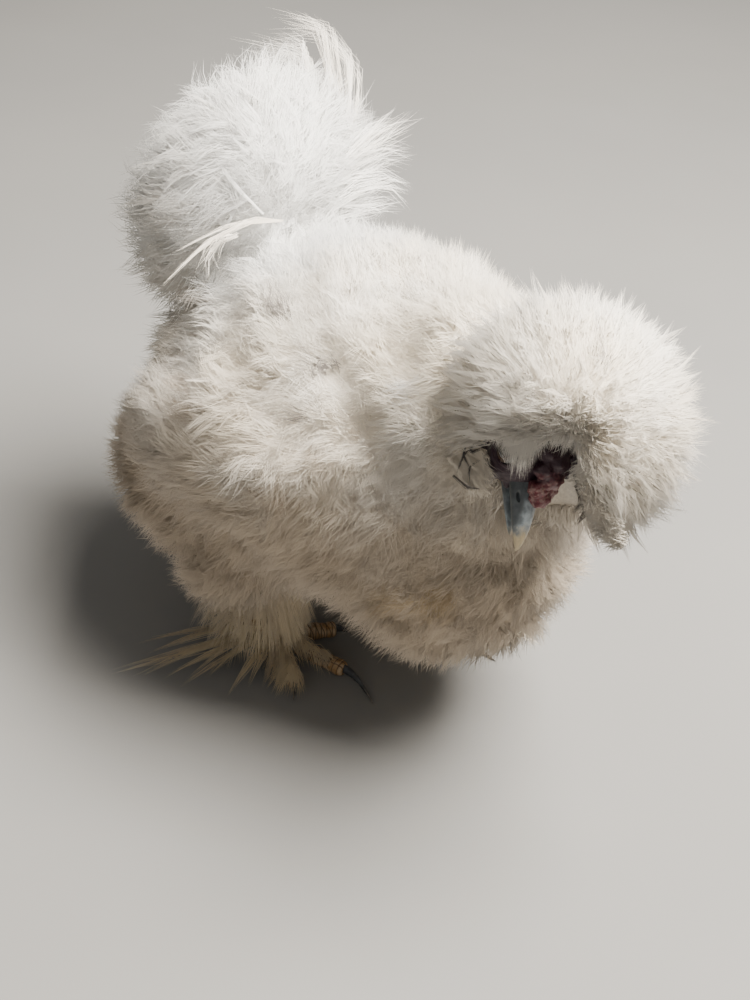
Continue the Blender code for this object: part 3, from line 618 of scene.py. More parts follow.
def plumage_group(colours):
    """The colour of the plumage at a place, with painted warm light on the back and painted shade low on the body,
    which the skin and the coat share.
    """
    tree = bpy.data.node_groups.new("plumage_colour", "ShaderNodeTree")
    tree.interface.new_socket("Place", in_out="INPUT", socket_type="NodeSocketVector")
    tree.interface.new_socket("Colour", in_out="OUTPUT", socket_type="NodeSocketColor")
    nodes = Nodes(tree)
    place = nodes.add("NodeGroupInput").outputs["Place"]
    z = nodes.add("ShaderNodeSeparateXYZ", {0: place}).outputs["Z"]
    cloud = nodes.noise(place, 22.0, 4.0)
    fine = nodes.noise(place, 160.0, 3.0)
    colour = nodes.mix(nodes.span(cloud, 0.35, 0.65, 0.0, 0.5), opaque(colours.cream), opaque(colours.white))

    tail = nodes.span(nodes.vector("DISTANCE", place, to_frame(TAIL.centre)), 0.055, 0.085, 1.0, 0.0)
    colour = nodes.mix(tail, colour, opaque(colours.white))

    # Painted warm light: the warmth of sunlight painted onto the top of the back, made patchy by the cloud noise.
    painted_sunlight = nodes.span(nodes.vector("DISTANCE", place, to_frame((35, -32, 205))), 0.015, 0.045, 0.75, 0.0)
    colour = nodes.mix(nodes.math("MULTIPLY", painted_sunlight, cloud), colour, opaque(colours.painted_sunlight))

    # Beige and darker towards the bottom of the body: partly real dust and staining, partly painted shade where less
    # light reaches.
    low = nodes.math("ADD", z, nodes.math("MULTIPLY", cloud, 0.05))
    shade = nodes.span(low, 0.12, 0.225, 0.85, 0.0)
    colour = nodes.mix(shade, colour, opaque(colours.beige_dust_and_shade))

    feet = nodes.span(low, 0.030, 0.085, 1.0, 0.0)
    ochre = nodes.math("MULTIPLY", feet, nodes.span(fine, 0.30, 0.60, 0.35, 1.0))
    colour = nodes.mix(ochre, colour, opaque(colours.foot))

    ragged = nodes.math("MULTIPLY", nodes.math("SUBTRACT", fine, 0.5), 0.012)
    broken = nodes.span(nodes.noise(place, 420.0, 2.0), 0.42, 0.52)
    for middle, radius, tint, strength in MARKS:
        far = nodes.math("ADD", nodes.vector("DISTANCE", place, to_frame(middle)), ragged)
        share = nodes.span(far, radius * 0.5 * MM, radius * MM, strength, 0.0)
        share = nodes.math("MULTIPLY", share, broken)
        colour = nodes.mix(share, colour, opaque(getattr(colours, tint)))
    nodes.feed(nodes.add("NodeGroupOutput").inputs["Colour"], colour)
    return tree


def plumage_material(colours):
    """Silky barbs: the tuft's place gives the marking, with the painted light and shade in it, and each tuft has a
    tone of its own.
    """
    material, nodes, shader, place = new_material("silky_plumage")
    place = nodes.add("ShaderNodeAttribute", attribute_name="place").outputs["Vector"]
    along = nodes.add("ShaderNodeAttribute", attribute_name="along").outputs["Fac"]
    tone = nodes.add("ShaderNodeAttribute", attribute_name="tone").outputs["Fac"]
    group = nodes.add("ShaderNodeGroup", node_tree=bpy.data.node_groups["plumage_colour"])
    nodes.feed(group.inputs["Place"], place)
    colour = group.outputs["Colour"]
    streak = nodes.math("MULTIPLY", nodes.span(tone, 0.985, 0.99, 0.0, 0.3), along)
    streak = nodes.math("ADD", streak, nodes.span(tone, 1.2, 1.6, 0.0, 0.85))
    colour = nodes.mix(streak, colour, opaque(colours.grey, 0.6))
    bright = nodes.span(tone, 0.0, 1.0, 0.97, 1.03)
    pale = nodes.add("ShaderNodeCombineColor", {0: bright, 1: bright, 2: bright}).outputs[0]
    colour = nodes.mix(1.0, colour, pale, "MULTIPLY")
    nodes.feed(shader.inputs["Base Color"], colour)
    shader.inputs["Roughness"].default_value = 0.7
    shader.inputs["Specular IOR Level"].default_value = 0.25
    shader.inputs["Sheen Weight"].default_value = 0.3
    shader.inputs["Sheen Roughness"].default_value = 0.45
    return material


def down_material(colours):
    """The skin under the plumage: short down in the coat's own markings, with their painted light and shade."""
    material, nodes, shader, place = new_material("down")
    group = nodes.add("ShaderNodeGroup", node_tree=bpy.data.node_groups["plumage_colour"])
    nodes.feed(group.inputs["Place"], place)
    fine = nodes.noise(place, 900.0, 2.0)
    pale = nodes.span(fine, 0.3, 0.7, 0.85, 1.0)
    grey = nodes.add("ShaderNodeCombineColor", {0: pale, 1: pale, 2: pale}).outputs[0]
    nodes.feed(shader.inputs["Base Color"], nodes.mix(1.0, group.outputs["Colour"], grey, "MULTIPLY"))
    nodes.feed(shader.inputs["Normal"], nodes.bump(fine, 0.6, 0.6 * MM))
    shader.inputs["Roughness"].default_value = 0.9
    return material


def skin_material(name, dark, light, scale, bumpy, rough):
    """Bare, finely folded skin between a dark and a light tone."""
    material, nodes, shader, place = new_material(name)
    folds = nodes.add("ShaderNodeTexVoronoi", {"Vector": place, "Scale": scale}).outputs["Distance"]
    cloud = nodes.noise(place, scale * 0.25, 4.0)
    grain = nodes.noise(place, scale * 2.5, 2.0)
    share = nodes.math("MULTIPLY", nodes.span(cloud, 0.35, 0.7), nodes.span(folds, 0.1, 0.6, 1.0, 0.5))
    nodes.feed(shader.inputs["Base Color"], nodes.mix(share, opaque(dark), opaque(light)))
    height = nodes.math("ADD", folds, nodes.math("MULTIPLY", grain, 0.5))
    nodes.feed(shader.inputs["Normal"], nodes.bump(height, 0.7, bumpy * MM))
    nodes.feed(shader.inputs["Roughness"], nodes.span(grain, 0.3, 0.7, rough - 0.08, rough + 0.1))
    return material


def toe_material(colours):
    """Scaly skin: bands of scutes run across the toes, darker in their seams and dusty on top, and darkened by
    painted shade where they come down to the floor.
    """
    material, nodes, shader, place = new_material("toe_scutes")
    z = nodes.add("ShaderNodeSeparateXYZ", {0: place}).outputs["Z"]
    seams = None
    for centre, _, _ in FEET.values():
        level = nodes.vector("MULTIPLY", place, (1, 1, 0))
        far = nodes.vector("DISTANCE", level, to_frame(centre))
        band = nodes.math("PINGPONG", far, SCUTE_PITCH / 2 * MM)
        groove = nodes.span(band, 0.0, 0.4 * MM)
        near = nodes.span(far, 0.075, 0.076, 0.0, 1.0)
        groove = nodes.math("MAXIMUM", groove, near)
        seams = groove if seams is None else nodes.math("MULTIPLY", seams, groove)
    pebbles = nodes.add("ShaderNodeTexVoronoi", {"Vector": place, "Scale": 900.0}).outputs["Distance"]
    dust = nodes.noise(place, 260.0, 4.0)
    colour = nodes.mix(nodes.span(dust, 0.35, 0.65), opaque(colours.toe), opaque(colours.toe_dusty))
    colour = nodes.mix(nodes.span(seams, 0.0, 1.0, 0.75, 0.0), colour, opaque(colours.toe, 0.25))
    # Painted shade: the toes darken within a few millimetres of the floor.
    colour = nodes.mix(nodes.span(z, 0.0, 0.004, 0.7, 0.0), colour, opaque(colours.toe, 0.3))
    nodes.feed(shader.inputs["Base Color"], colour)
    height = nodes.math("ADD", seams, nodes.math("MULTIPLY", pebbles, 0.35))
    nodes.feed(shader.inputs["Normal"], nodes.bump(height, 0.8, 0.35 * MM))
    nodes.feed(shader.inputs["Roughness"], nodes.span(dust, 0.3, 0.7, 0.5, 0.75))
    return material


def horn_material(name, base, tip, root, reach, way, side):
    """Horn in fine layers, from its base to its tip colour along a way, and darkened along its two sides by painted
    shade, which leaves its ridge lighter.
    """
    material, nodes, shader, place = new_material(name)
    off = nodes.vector("SUBTRACT", place, to_frame(root))
    far = nodes.vector("DOT_PRODUCT", off, tuple(way))
    cloud = nodes.noise(place, 300.0, 4.0)
    share = nodes.math("ADD", far, nodes.math("MULTIPLY", nodes.math("SUBTRACT", cloud, 0.5), 0.012))
    share = nodes.span(share, reach * 0.64 * MM, reach * 0.84 * MM)
    grain = nodes.noise(nodes.vector("MULTIPLY", place, (1, 1, 0.35)), 1400.0, 2.0)
    layers = nodes.mix(nodes.span(cloud, 0.35, 0.7), opaque(base, 0.7), opaque(base, 1.6))
    # Painted shade: the horn darkens towards both its sides, away from the ridge along its middle.
    aside = nodes.math("ABSOLUTE", nodes.vector("DOT_PRODUCT", off, tuple(side)))
    edge = nodes.span(aside, reach * 0.10 * MM, reach * 0.18 * MM, 0.0, 0.85)
    colour = nodes.mix(share, nodes.mix(edge, layers, opaque(base, 0.12)), opaque(tip))
    colour = nodes.mix(nodes.span(grain, 0.3, 0.8, 0.0, 0.3), colour, opaque(base, 0.4))
    nodes.feed(shader.inputs["Base Color"], colour)
    nodes.feed(shader.inputs["Normal"], nodes.bump(grain, 0.25, 0.12 * MM))
    nodes.feed(shader.inputs["Roughness"], nodes.span(cloud, 0.3, 0.7, 0.28, 0.5))
    shader.inputs["Coat Weight"].default_value = 0.15
    shader.inputs["Coat Roughness"].default_value = 0.3
    return material


# Skin


def body_skin():
    """The flesh and the down under the feathers, close below the tips of the coat."""
    bm = bmesh.new()
    swellings = (
        (6, lambda ways: coat_points(TORSO_MIDDLE, ways, SKIN_LEVEL, 150)),
        (5, lambda ways: coat_points(NECK.centre, ways, SKIN_LEVEL, 75)),
        (5, lambda ways: CREST.surface(ways, CREST_DEPTH)),
        (5, lambda ways: TAIL.surface(ways, TAIL_DEPTH)),
    )
    for detail, place in swellings:
        verts = bmesh.ops.create_icosphere(bm, subdivisions=detail, radius=1)["verts"]
        for vert, point in zip(verts, place(unit(np.array([vert.co for vert in verts])))):
            vert.co = point
    for side, thigh in THIGHS.items():
        ball(bm, thigh.centre, thigh.radii + SKIN_LEVEL)
        loft(bm, shank_rings(*FEET[side], heights=(10, 24, 42, 60), count=24))
        loft(bm, bell_rings(*FEET[side]))
    ball(bm, SKULL_CENTRE, np.array(SKULL_RADII) - 0.8, HEAD_TURN)
    return fused(bm, 2.2, 4)


def bell_rings(centre, outer, turn):
    """Rings up the down inside the shank's bell of feathers, which hangs out on the foot's outer side."""
    way = toe_way(BELL_DEGREES, outer)
    rings = []
    for height, aside, radius in ((11, 4, 10), (20, 8, 14), (34, 11, 17), (52, 10, 19)):
        place = centre + way * aside + np.array((LEG_LEAN * height / 38, 0, height))
        rings.append(ring(place, AHEAD, np.cross(UP, AHEAD), radius, radius, 32))
    return rings


def shank_rings(centre, outer, turn, heights, count):
    """Rings up a shank, which leans back a little and swells towards the thigh."""
    rings = []
    for height in heights:
        swell = SHANK_RADIUS * (0.86 + 0.30 * (max(height - 24, 0) / 36) ** 1.5)
        place = centre + np.array((LEG_LEAN * height / 38, 0, height))
        rings.append(ring(place, AHEAD, np.cross(UP, AHEAD), swell, swell, count))
    return rings


def face_skin():
    """The bare head: a skull with cheeks, brows, lids round sunken eyes, and a gape."""
    bm = bmesh.new()
    head_ball(bm, (0, 0, 0), SKULL_RADII, 5)
    head_ball(bm, (11, 0, 0), (7.5, 7.4, 8.0))
    for side in (-1, 1):
        forward, right, crown = EYE_PLACE
        head_ball(bm, (forward, side * (right - 1.2), crown), (6.4, 4.4, 5.8))
        head_ball(bm, (forward + 0.5, side * (right - 3.2), crown + 5.4), (7.0, 3.6, 2.6))
        head_ball(bm, (8, side * 8.5, -6.5), (7.0, 4.5, 5.0))
        head_ball(bm, (15.5, side * 5.2, -3.0), (3.4, 1.8, 1.6))
    bm = fused(bm, 0.75, 2)
    sockets = bmesh.new()
    for side in (-1, 1):
        forward, right, crown = EYE_PLACE
        head_ball(sockets, (forward, side * right, crown), (EYE_RADIUS + 0.25,) * 3)
        head_ball(sockets, (forward, side * (right + 3.6), crown), (4.3, 4.0, 3.3))
    bm = joined([bm, sockets], "DIFFERENCE")
    for vert in bm.verts:
        place = np.array(vert.co)
        for side in (-1, 1):
            eye = at_head(EYE_PLACE[0], side * EYE_PLACE[1], EYE_PLACE[2])
            far = np.linalg.norm(place - eye)
            fold = 0.32 * math.sin(far * 2.6) * math.exp(-(((far - 7.2) / 2.6) ** 2))
            vert.co += Vector(unit(place - SKULL_CENTRE) * fold)
    return bm


def toe_way(degrees, outer):
    """A level way, so many degrees from straight ahead towards a foot's outer side."""
    angle = math.radians(degrees) * outer
    return np.array((math.cos(angle), math.sin(angle), 0))


def toe_line(centre, outer, turn, toe):
    """A toe's root, its run, its side, its upper side and its length."""
    degrees, length, rise, claw = toe
    way = toe_way(degrees + turn, outer)
    side = np.cross(way, UP)
    root = centre + way * (BALL_RADIUS - 3) + UP * (TOE_RADIUS * 0.9 + rise)
    run = unit(way + UP * (0.55 if rise else 0.0))
    lift = np.cross(side, run)
    return root, run, side, lift if lift[2] > 0 else -lift, length + 3


# How thick a toe is along its length: it swells over its joints.
TOE_GIRTHS = ((-0.15, 1.0), (0, 1.0), (0.16, 0.94), (0.32, 0.84), (0.5, 0.98), (0.7, 0.8), (0.9, 0.92), (0.985, 0.7))


def foot_skin(side):
    """The shank's end, the ball of the foot and the toes, with scutes across their tops."""
    centre, outer, turn = FEET[side]
    bm = bmesh.new()
    ball(bm, centre + UP * BALL_HEIGHT, np.array((1, 1, 0.9)) * BALL_RADIUS)
    loft(bm, shank_rings(centre, outer, turn, (5, 14, 22, 34), 32))
    for toe in TOES.values():
        root, run, across, lift, length = toe_line(centre, outer, turn, toe)
        rings = []
        for share, girth in TOE_GIRTHS:
            radius = TOE_RADIUS * girth
            rings.append(ring(root + run * length * share, across, lift, radius, radius, 24))
        loft(bm, rings)
    bm = fused(bm, 0.8, 3)
    for vert in bm.verts:
        far = math.hypot(vert.co.x - centre[0], vert.co.y - centre[1])
        if vert.co.z > 3 and far > BALL_RADIUS:
            vert.co.z += 0.30 * abs(math.sin(math.pi * far / SCUTE_PITCH)) - 0.1
        vert.co.z = max(vert.co.z, 0.0)
    return bm


def bare_face(points):
    """Whether places on the skin lie on the face that the plumage leaves bare."""
    off = points - SKULL_CENTRE
    along = off @ FORWARD
    across = np.linalg.norm(off - np.outer(along, FORWARD), axis=1)
    return (along > 1.0) & (across < 21) & (np.linalg.norm(off, axis=1) < 24) | in_face(points)


def make_skin(colours):
    """One skin over all the flesh: bare on the face and the feet, and downy under the plumage."""
    shapes = [body_skin(), face_skin()] + [foot_skin(side) for side in FEET]
    bm = joined(shapes)
    bmesh.ops.triangulate(bm, faces=bm.faces)
    places = np.array([face.calc_center_median() for face in bm.faces])
    face = bare_face(places)
    low = places[:, 2] < 26
    for index, polygon in enumerate(bm.faces):
        polygon.material_index = 1 if face[index] else 2 if low[index] else 0
    mesh = mesh_from(bm, "skin")
    skin = add_piece("skin", mesh, None, FLESH)
    mesh.materials.append(down_material(colours))
    mesh.materials.append(skin_material("face_skin_folds", colours.skin, colours.skin_light, 420.0, 0.5, 0.45))
    mesh.materials.append(toe_material(colours))
    return skin


# Plumage


def take(tufts, rows):
    return {key: values[rows] for key, values in tufts.items()}


def merged(groups):
    return {key: np.concatenate([group[key] for group in groups]) for key in groups[0]}


def gathered(tips, spacing, share):
    """The tips drawn by a share towards the nearest of a sparser set of them, as locks of plumage form."""
    middles = tips[spread(tips, spacing)]
    tree = kdtree.KDTree(len(middles))
    for index, place in enumerate(middles):
        tree.insert(place, index)
    tree.balance()
    nearest = np.array([tree.find(tip)[1] for tip in tips])
    return tips + (middles[nearest] - tips) * np.asarray(share)[..., None]


def fans(count, share, narrow, wide, rng):
    """How far the barbs of each tuft spread at their tips: a share of the tufts end in narrow points."""
    pointed = rng.uniform(0, 1, count) < share
    return np.where(pointed, rng.uniform(*narrow, count), rng.uniform(*wide, count))


def make_tufts(root, over, tip, out, rng, width, foot, fan, flat=0.55, curl=0.6):
    """Tufts that rise from their roots towards the places over them, and bend to their tips."""
    count = len(root)
    sizes = {"width": width, "foot": foot, "fan": fan, "flat": flat, "curl": curl}
    sizes = {name: np.broadcast_to(np.asarray(size, float), (count,)) for name, size in sizes.items()}
    return {
        **sizes,
        "root": root,
        "over": over,
        "tip": tip,
        "place": (over + tip) / 2,
        "out": out,
        "tone": rng.uniform(0, 1, count),
    }


def drawn_tufts(plumes, out, rng, width, fan, curl=0.6, foot=1.2):
    """Tufts round given lines: so many, how far they scatter, and the root, the place over it and the tip."""
    lines = [[], [], []]
    for count, scatter, *places in plumes:
        for _ in range(count):
            for line, place in zip(lines, places):
                line.append(np.array(place) + rng.normal(0, scatter, 3))
    root, over, tip = (np.array(line) for line in lines)
    out = np.broadcast_to(unit(np.array(out)), root.shape)
    return make_tufts(root, over, tip, out, rng, width, foot, fan, flat=0.8, curl=curl)


def barb_lines(tufts, barbs, shares, rng):
    """The centre lines of each tuft's barbs, as points at shares of their length."""
    root, over, tip = (tufts[key][:, None, None] for key in ("root", "over", "tip"))
    shape = (len(root), barbs)
    s = np.asarray(shares)[:, None]
    t = rng.uniform(0.76, 1.06, shape)[..., None, None] * s
    line = (1 - t) ** 2 * root + 2 * t * (1 - t) * over + t**2 * tip
    rise = unit(over - root)
    side = np.cross(rise, tip - over)
    side = unit(np.where(np.linalg.norm(side, axis=-1, keepdims=True) < 1e-3, np.cross(rise, (0.3, 0.5, 0.8)), side))
    ahead = np.cross(side, rise)
    run = unit(tip - over)
    lift = np.cross(run, side)
    lift *= np.sign((lift * tufts["out"][:, None, None]).sum(axis=-1, keepdims=True) + 1e-9)
    turn = rng.uniform(0, 2 * math.pi, shape)[..., None, None]
    far = np.sqrt(rng.uniform(0.02, 1, shape))[..., None, None]
    foot = tufts["foot"][:, None, None, None] * far * (np.cos(turn) * side + np.sin(turn) * ahead)
    turn = turn + rng.normal(0, 0.5, shape)[..., None, None]
    flat = tufts["flat"][:, None, None, None]
    fan = tufts["fan"][:, None, None, None] * far * (np.cos(turn) * side + flat * np.sin(turn) * lift)
    bow = tufts["curl"][:, None, None, None] * rng.normal(0, 1, shape)[..., None, None]
    return line + foot * (1 - s) + fan * s**1.3 + bow * 4 * s * (1 - s) * unit(side + lift * 0.5)


def barb_template(rings):
    """Which corners each face of one barb has, its face sizes, and each corner's place on its patch."""
    loops, sizes, patch = [2, 1, 0], [3], [(0.66, 0), (0.33, 0), (0, 0.04)]
    for k in range(rings - 1):
        for i in range(3):
            j = (i + 1) % 3
            loops += [3 * k + i, 3 * k + j, 3 * k + 3 + j, 3 * k + 3 + i]
            sizes.append(4)
            low, high = k / rings, (k + 1) / rings
            patch += [(i / 3, low), ((i + 1) / 3, low), ((i + 1) / 3, high), (i / 3, high)]
    for i in range(3):
        j = (i + 1) % 3
        loops += [3 * rings - 3 + i, 3 * rings - 3 + j, 3 * rings]
        sizes.append(3)
        patch += [(i / 3, 1 - 1 / rings), ((i + 1) / 3, 1 - 1 / rings), ((i + 0.5) / 3, 1)]
    return np.array(loops), np.array(sizes), np.array(patch)


# The side of a tuft's patch on its unrolled map, and how far a barb is lit as the coat round it is.
PATCH = 0.003
SOFT_LIGHT = 0.85


def unrolled(points):
    """Places on the skin unrolled onto a square, by equal areas, about the middle of those places."""
    centre = points.mean(axis=0)
    pole = unit(centre - TORSO_MIDDLE)
    centre = centre - pole * 60
    ways = unit(points - centre)
    across = unit(np.cross(pole, UP + 0.01))
    along = np.cross(pole, across)
    flat = np.stack((ways @ across, ways @ along), axis=1)
    flat *= np.sqrt(2 / np.maximum(1 + ways @ pole, 1e-3))[:, None]
    low, high = flat.min(axis=0), flat.max(axis=0)
    return PATCH + (flat - low) / (high - low) * (1 - 3 * PATCH)


def coat_mesh(name, tufts, barbs, shares, taper, rng):
    """The barbs of many tufts as one mesh of closed, three-sided, pointed strands."""
    line = barb_lines(tufts, barbs, shares, rng)
    count, barbs, knots, _ = line.shape
    rings = knots - 1
    along = unit(np.gradient(line, axis=2))[:, :, :rings]
    first = unit(np.cross(along, tufts["out"][:, None, None] + 0.01))
    second = np.cross(along, first)
    radius = (tufts["width"][:, None] * rng.uniform(0.7, 1.15, (count, barbs)) * 0.58)[..., None]
    radius = (radius * np.asarray(taper))[..., None, None]
    angle = (2 * math.pi / 3 * np.arange(3))[:, None]
    section = first[:, :, :, None] * np.cos(angle) + second[:, :, :, None] * np.sin(angle)
    skin = line[:, :, :rings, None] + section * radius
    verts = np.concatenate((skin.reshape(count * barbs, rings * 3, 3), line[:, :, -1].reshape(-1, 1, 3)), axis=1)
    verts = (verts + SHIFT) * MM
    verts = np.clip(verts, BOX_LOW, BOX_HIGH)

    loops, sizes, patch = barb_template(rings)
    strands = count * barbs
    per = rings * 3 + 1
    mesh = bpy.data.meshes.new(name)
    mesh.vertices.add(strands * per)
    mesh.vertices.foreach_set("co", verts.ravel())
    mesh.loops.add(strands * len(loops))
    mesh.loops.foreach_set("vertex_index", (loops + per * np.arange(strands)[:, None]).ravel().astype(np.int32))
    starts = np.concatenate(([0], np.cumsum(sizes)[:-1])) + len(loops) * np.arange(strands)[:, None]
    mesh.polygons.add(strands * len(sizes))
    mesh.polygons.foreach_set("loop_start", starts.ravel().astype(np.int32))
    mesh.update(calc_edges=True)
    mesh.shade_smooth()

    facing = tufts["out"][:, None, None, None]
    soft = unit((1 - SOFT_LIGHT) * section + SOFT_LIGHT * facing).reshape(strands, rings * 3, 3)
    ends = np.broadcast_to(facing[:, :, 0], (count, barbs, 1, 3)).reshape(-1, 1, 3)
    mesh.normals_split_custom_set_from_vertices(np.concatenate((soft, ends), axis=1).reshape(-1, 3).tolist())

    corner = unrolled(tufts["root"])[:, None, None] + (patch - 0.5) * PATCH
    corner = np.broadcast_to(corner, (count, barbs, len(loops), 2))
    mesh.uv_layers.new(name="OFBake").uv.foreach_set("vector", corner.ravel())
    place = np.broadcast_to(((tufts["place"] + SHIFT) * MM)[:, None, None], (count, barbs, per, 3))
    tone = np.broadcast_to(tufts["tone"][:, None, None], (count, barbs, per))
    share = np.append(np.repeat(shares[:-1], 3), 1.0)
    share = np.broadcast_to(share, (count, barbs, per))
    mesh.attributes.new("place", "FLOAT_VECTOR", "POINT").data.foreach_set("vector", place.ravel())
    mesh.attributes.new("tone", "FLOAT", "POINT").data.foreach_set("value", tone.ravel())
    mesh.attributes.new("along", "FLOAT", "POINT").data.foreach_set("value", share.ravel())
    return mesh


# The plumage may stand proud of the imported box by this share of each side.
PROUD = 0.025
BOX_LOW, BOX_HIGH = (np.array(corner) for corner in CAD_BOX)
BOX_SIDE = BOX_HIGH - BOX_LOW
BOX_LOW = np.array((BOX_LOW[0] - PROUD * BOX_SIDE[0], BOX_LOW[1] - PROUD * BOX_SIDE[1], BOX_LOW[2]))
BOX_HIGH = BOX_HIGH + PROUD * BOX_SIDE

SHORT_BARB = ((0.0, 0.5, 1.0), (0.9, 0.8))
LONG_BARB = ((0.0, 0.34, 0.68, 1.0), (0.9, 1.0, 0.65))


def add_coat(name, tufts, barbs, barb, nodes, rng):
    """One piece of the coat, in the shared plumage material."""
    mesh = coat_mesh(name, tufts, barbs, *barb, rng)
    return add_piece(name, mesh, bpy.data.materials["silky_plumage"], nodes)


def beyond(planes, points, margin=0.0):
    """Whether points lie on the positive side of every plane, by a margin."""
    return np.all([(points - place) @ normal > margin for place, normal in planes], axis=0)


HEAD_PLANE = (np.array((69, -20, 188)), unit(np.array((0.86, -0.10, 0.50))))
TAIL_PLANES = (
    (np.array((-92, 12, 176)), unit(np.array((-0.40, 0.05, 0.91)))),
    (np.array((-58, 16, 200)), unit(np.array((-0.93, 0.02, 0.36)))),
)
# The body's coat is parted into pieces by the way out of the torso that a tuft lies nearest to.
BODY_PARTS = {
    "coat_back": (0.0, 0.0, 1.0),
    "coat_neck": (0.80, -0.05, 0.55),
    "coat_breast": (0.90, -0.35, -0.45),
    "coat_breast_far": (0.70, 0.75, -0.35),
    "coat_side_right": (0.10, -1.0, 0.05),
    "coat_side_left": (0.10, 1.0, 0.05),
    "coat_rump": (-1.0, 0.0, 0.25),
    "coat_belly": (-0.25, 0.0, -1.0),
}


def body_headings(places):
    """The lie of the plumage over the body, blended from part to part."""
    outer = np.sign(places[:, 1:2])
    parts = [(BODY, TORSO_HEADING), (BREAST, TORSO_HEADING), (VENT, TORSO_HEADING), (NECK, NECK_HEADING)]
    parts += [(wing, WING_HEADING) for wing in WINGS.values()]
    parts += [(thigh, THIGH_HEADING) for thigh in THIGHS.values()]
    total = np.zeros_like(places)
    for form, heading in parts:
        total += np.exp(-form.distance(places) / 9)[:, None] * heading
    total[:, 1:2] += 0.08 * outer * np.linalg.norm(total, axis=1, keepdims=True)
    return total


def make_body_coat(sizes):
    """Fluff over the torso, the neck, the wings and the thighs, in even tufts drawn into soft locks."""
    rng = np.random.default_rng(21)
    ways = sphere_ways(26000, rng)
    places = coat_points(TORSO_MIDDLE, ways, 0, 190)
    for thigh in THIGHS.values():
        near = thigh.surface(sphere_ways(3000, rng))
        near = near[(np.abs(coat_distance(near)) < 5) & (near[:, 2] < 84) & (near[:, 2] > 42)]
        places = np.concatenate((places, near))
    neck = NECK.surface(sphere_ways(5000, rng))
    places = np.concatenate((places, neck[np.abs(coat_distance(neck)) < 5]))
    keep = (CREST.distance(places) > -1) & ~beyond(TAIL_PLANES, places, 4) & ~in_face(places)
    places = places[keep]
    places = places[spread(places, sizes.tuft_spacing / MM)]

    count = len(places)
    normals = coat_normals(places)
    way = laid_flat(body_headings(places), normals)
    way = turned(way, normals, 2.4 * swirl(places) + rng.normal(0, 0.7, count))
    standing = rng.uniform(0, 1, count) < 0.4
    wings = np.min([wing.distance(places) for wing in WINGS.values()], axis=0)
    covert = (rng.uniform(0, 1, count) < 0.08) & (wings < 5)
    run = np.where(standing, rng.uniform(3, 9, count), rng.uniform(8, 18, count)) + 8 * covert
    level = np.where(standing, rng.uniform(0, 5, count), rng.uniform(-3, 2, count)) + covert
    tip = on_level(places + way * run[:, None], level)
    tip = gathered(tip, 7.0, np.where(standing, 0.05, 0.15))
    lift = rng.uniform(-4.5, -0.5, count)
    over = places + normals * lift[:, None] + way * 2
    root = on_level(places, ROOT_LEVEL)
    fan = np.where(covert, 1.6, fans(count, 0.15, (1.0, 2.2), (4.5, 7.5), rng))
    width = sizes.barb_width / MM
    tufts = make_tufts(root, over, tip, normals, rng, width, 3.2, fan, flat=0.8, curl=1.4)

    aim = unit(places - TORSO_MIDDLE)
    axes = unit(np.array(list(BODY_PARTS.values())))
    part = (aim @ axes.T).argmax(axis=1)
    nodes = ["torso", "neck", "wing_right", "wing_left", "thigh_right", "thigh_left"]
    for index, name in enumerate(BODY_PARTS):
        add_coat(name, take(tufts, part == index), 15, SHORT_BARB, nodes, rng)


def make_crest_coat(sizes):
    """The globe of the crest: plumes that stand out all round it and lean away from the whorl."""
    rng = np.random.default_rng(22)
    width = sizes.barb_width / MM
    places = CREST.surface(sphere_ways(14000, rng))
    places = places[beyond([HEAD_PLANE], places, -6)]
    places = places[spread(places, sizes.crest_spacing / MM)]
    count = len(places)
    aim = unit(places - CREST.centre)
    near = np.maximum(0, aim @ CREST_WHORL)
    way = laid_flat(np.broadcast_to(-CREST_WHORL, places.shape), aim)
    wander = laid_flat(rng.normal(0, 1, places.shape), aim)
    way = unit(way + wander * (1.1 + 2.0 * near**4)[:, None])
    spike = rng.uniform(0, 1, count) < 0.12
    run = rng.uniform(2, 8, count)
    level = np.where(spike, rng.uniform(3, 9, count), rng.uniform(-3, 4, count))
    outward = unit(places + way * run[:, None] - CREST.centre)
    past_edge = np.abs(CREST.reach(outward) - CREST.reach(aim)) > 5
    outward = np.where(past_edge[:, None], aim, outward)
    level = np.where(CREST.reach(outward) < 0.93 * Form.reach(CREST, outward), 0.4 * level, level)
    tip = CREST.centre + outward * (CREST.reach(outward) + level)[:, None]
    over = places - aim * rng.uniform(0, 5, count)[:, None]
    root = places - aim * (CREST_DEPTH + 2)
    fan = np.where(spike, 0.8, fans(count, 0.2, (0.8, 2.0), (3.0, 5.0), rng))
    tufts = make_tufts(root, over, tip, aim, rng, width, 2.6, fan, flat=1.0, curl=0.9)
    tufts = merged([tufts, forelock(rng, width), cheeks(rng, width)])
    front = (tufts["over"] - CREST.centre) @ unit(np.array((0.6, -0.7, 0.2))) > 0
    for name, rows in (("coat_crest_front", front), ("coat_crest_back", ~front)):
        add_coat(name, take(tufts, rows), 14, SHORT_BARB, ["crest", "head"], rng)


# Where the tips of the brow's pointed lock lie, across the opening over the face and up it.
FORELOCK = (
    (-4.5, -1.5), (-6.5, 0.5), (-2.5, 0.5), (-8.5, 3), (-0.5, 3), (-4.5, 3), (-11, 6), (1.5, 6),
    (-4.5, 6), (-8, 6), (-14.5, 9), (-11, 9), (-7, 9), (-3, 9), (0.5, 9), (4, 9),
)  # fmt: skip
FRINGE = ((7, 9), (9.5, 8), (12, 8.5), (14.5, 8), (16.5, 6), (17, 2), (17.5, -3))


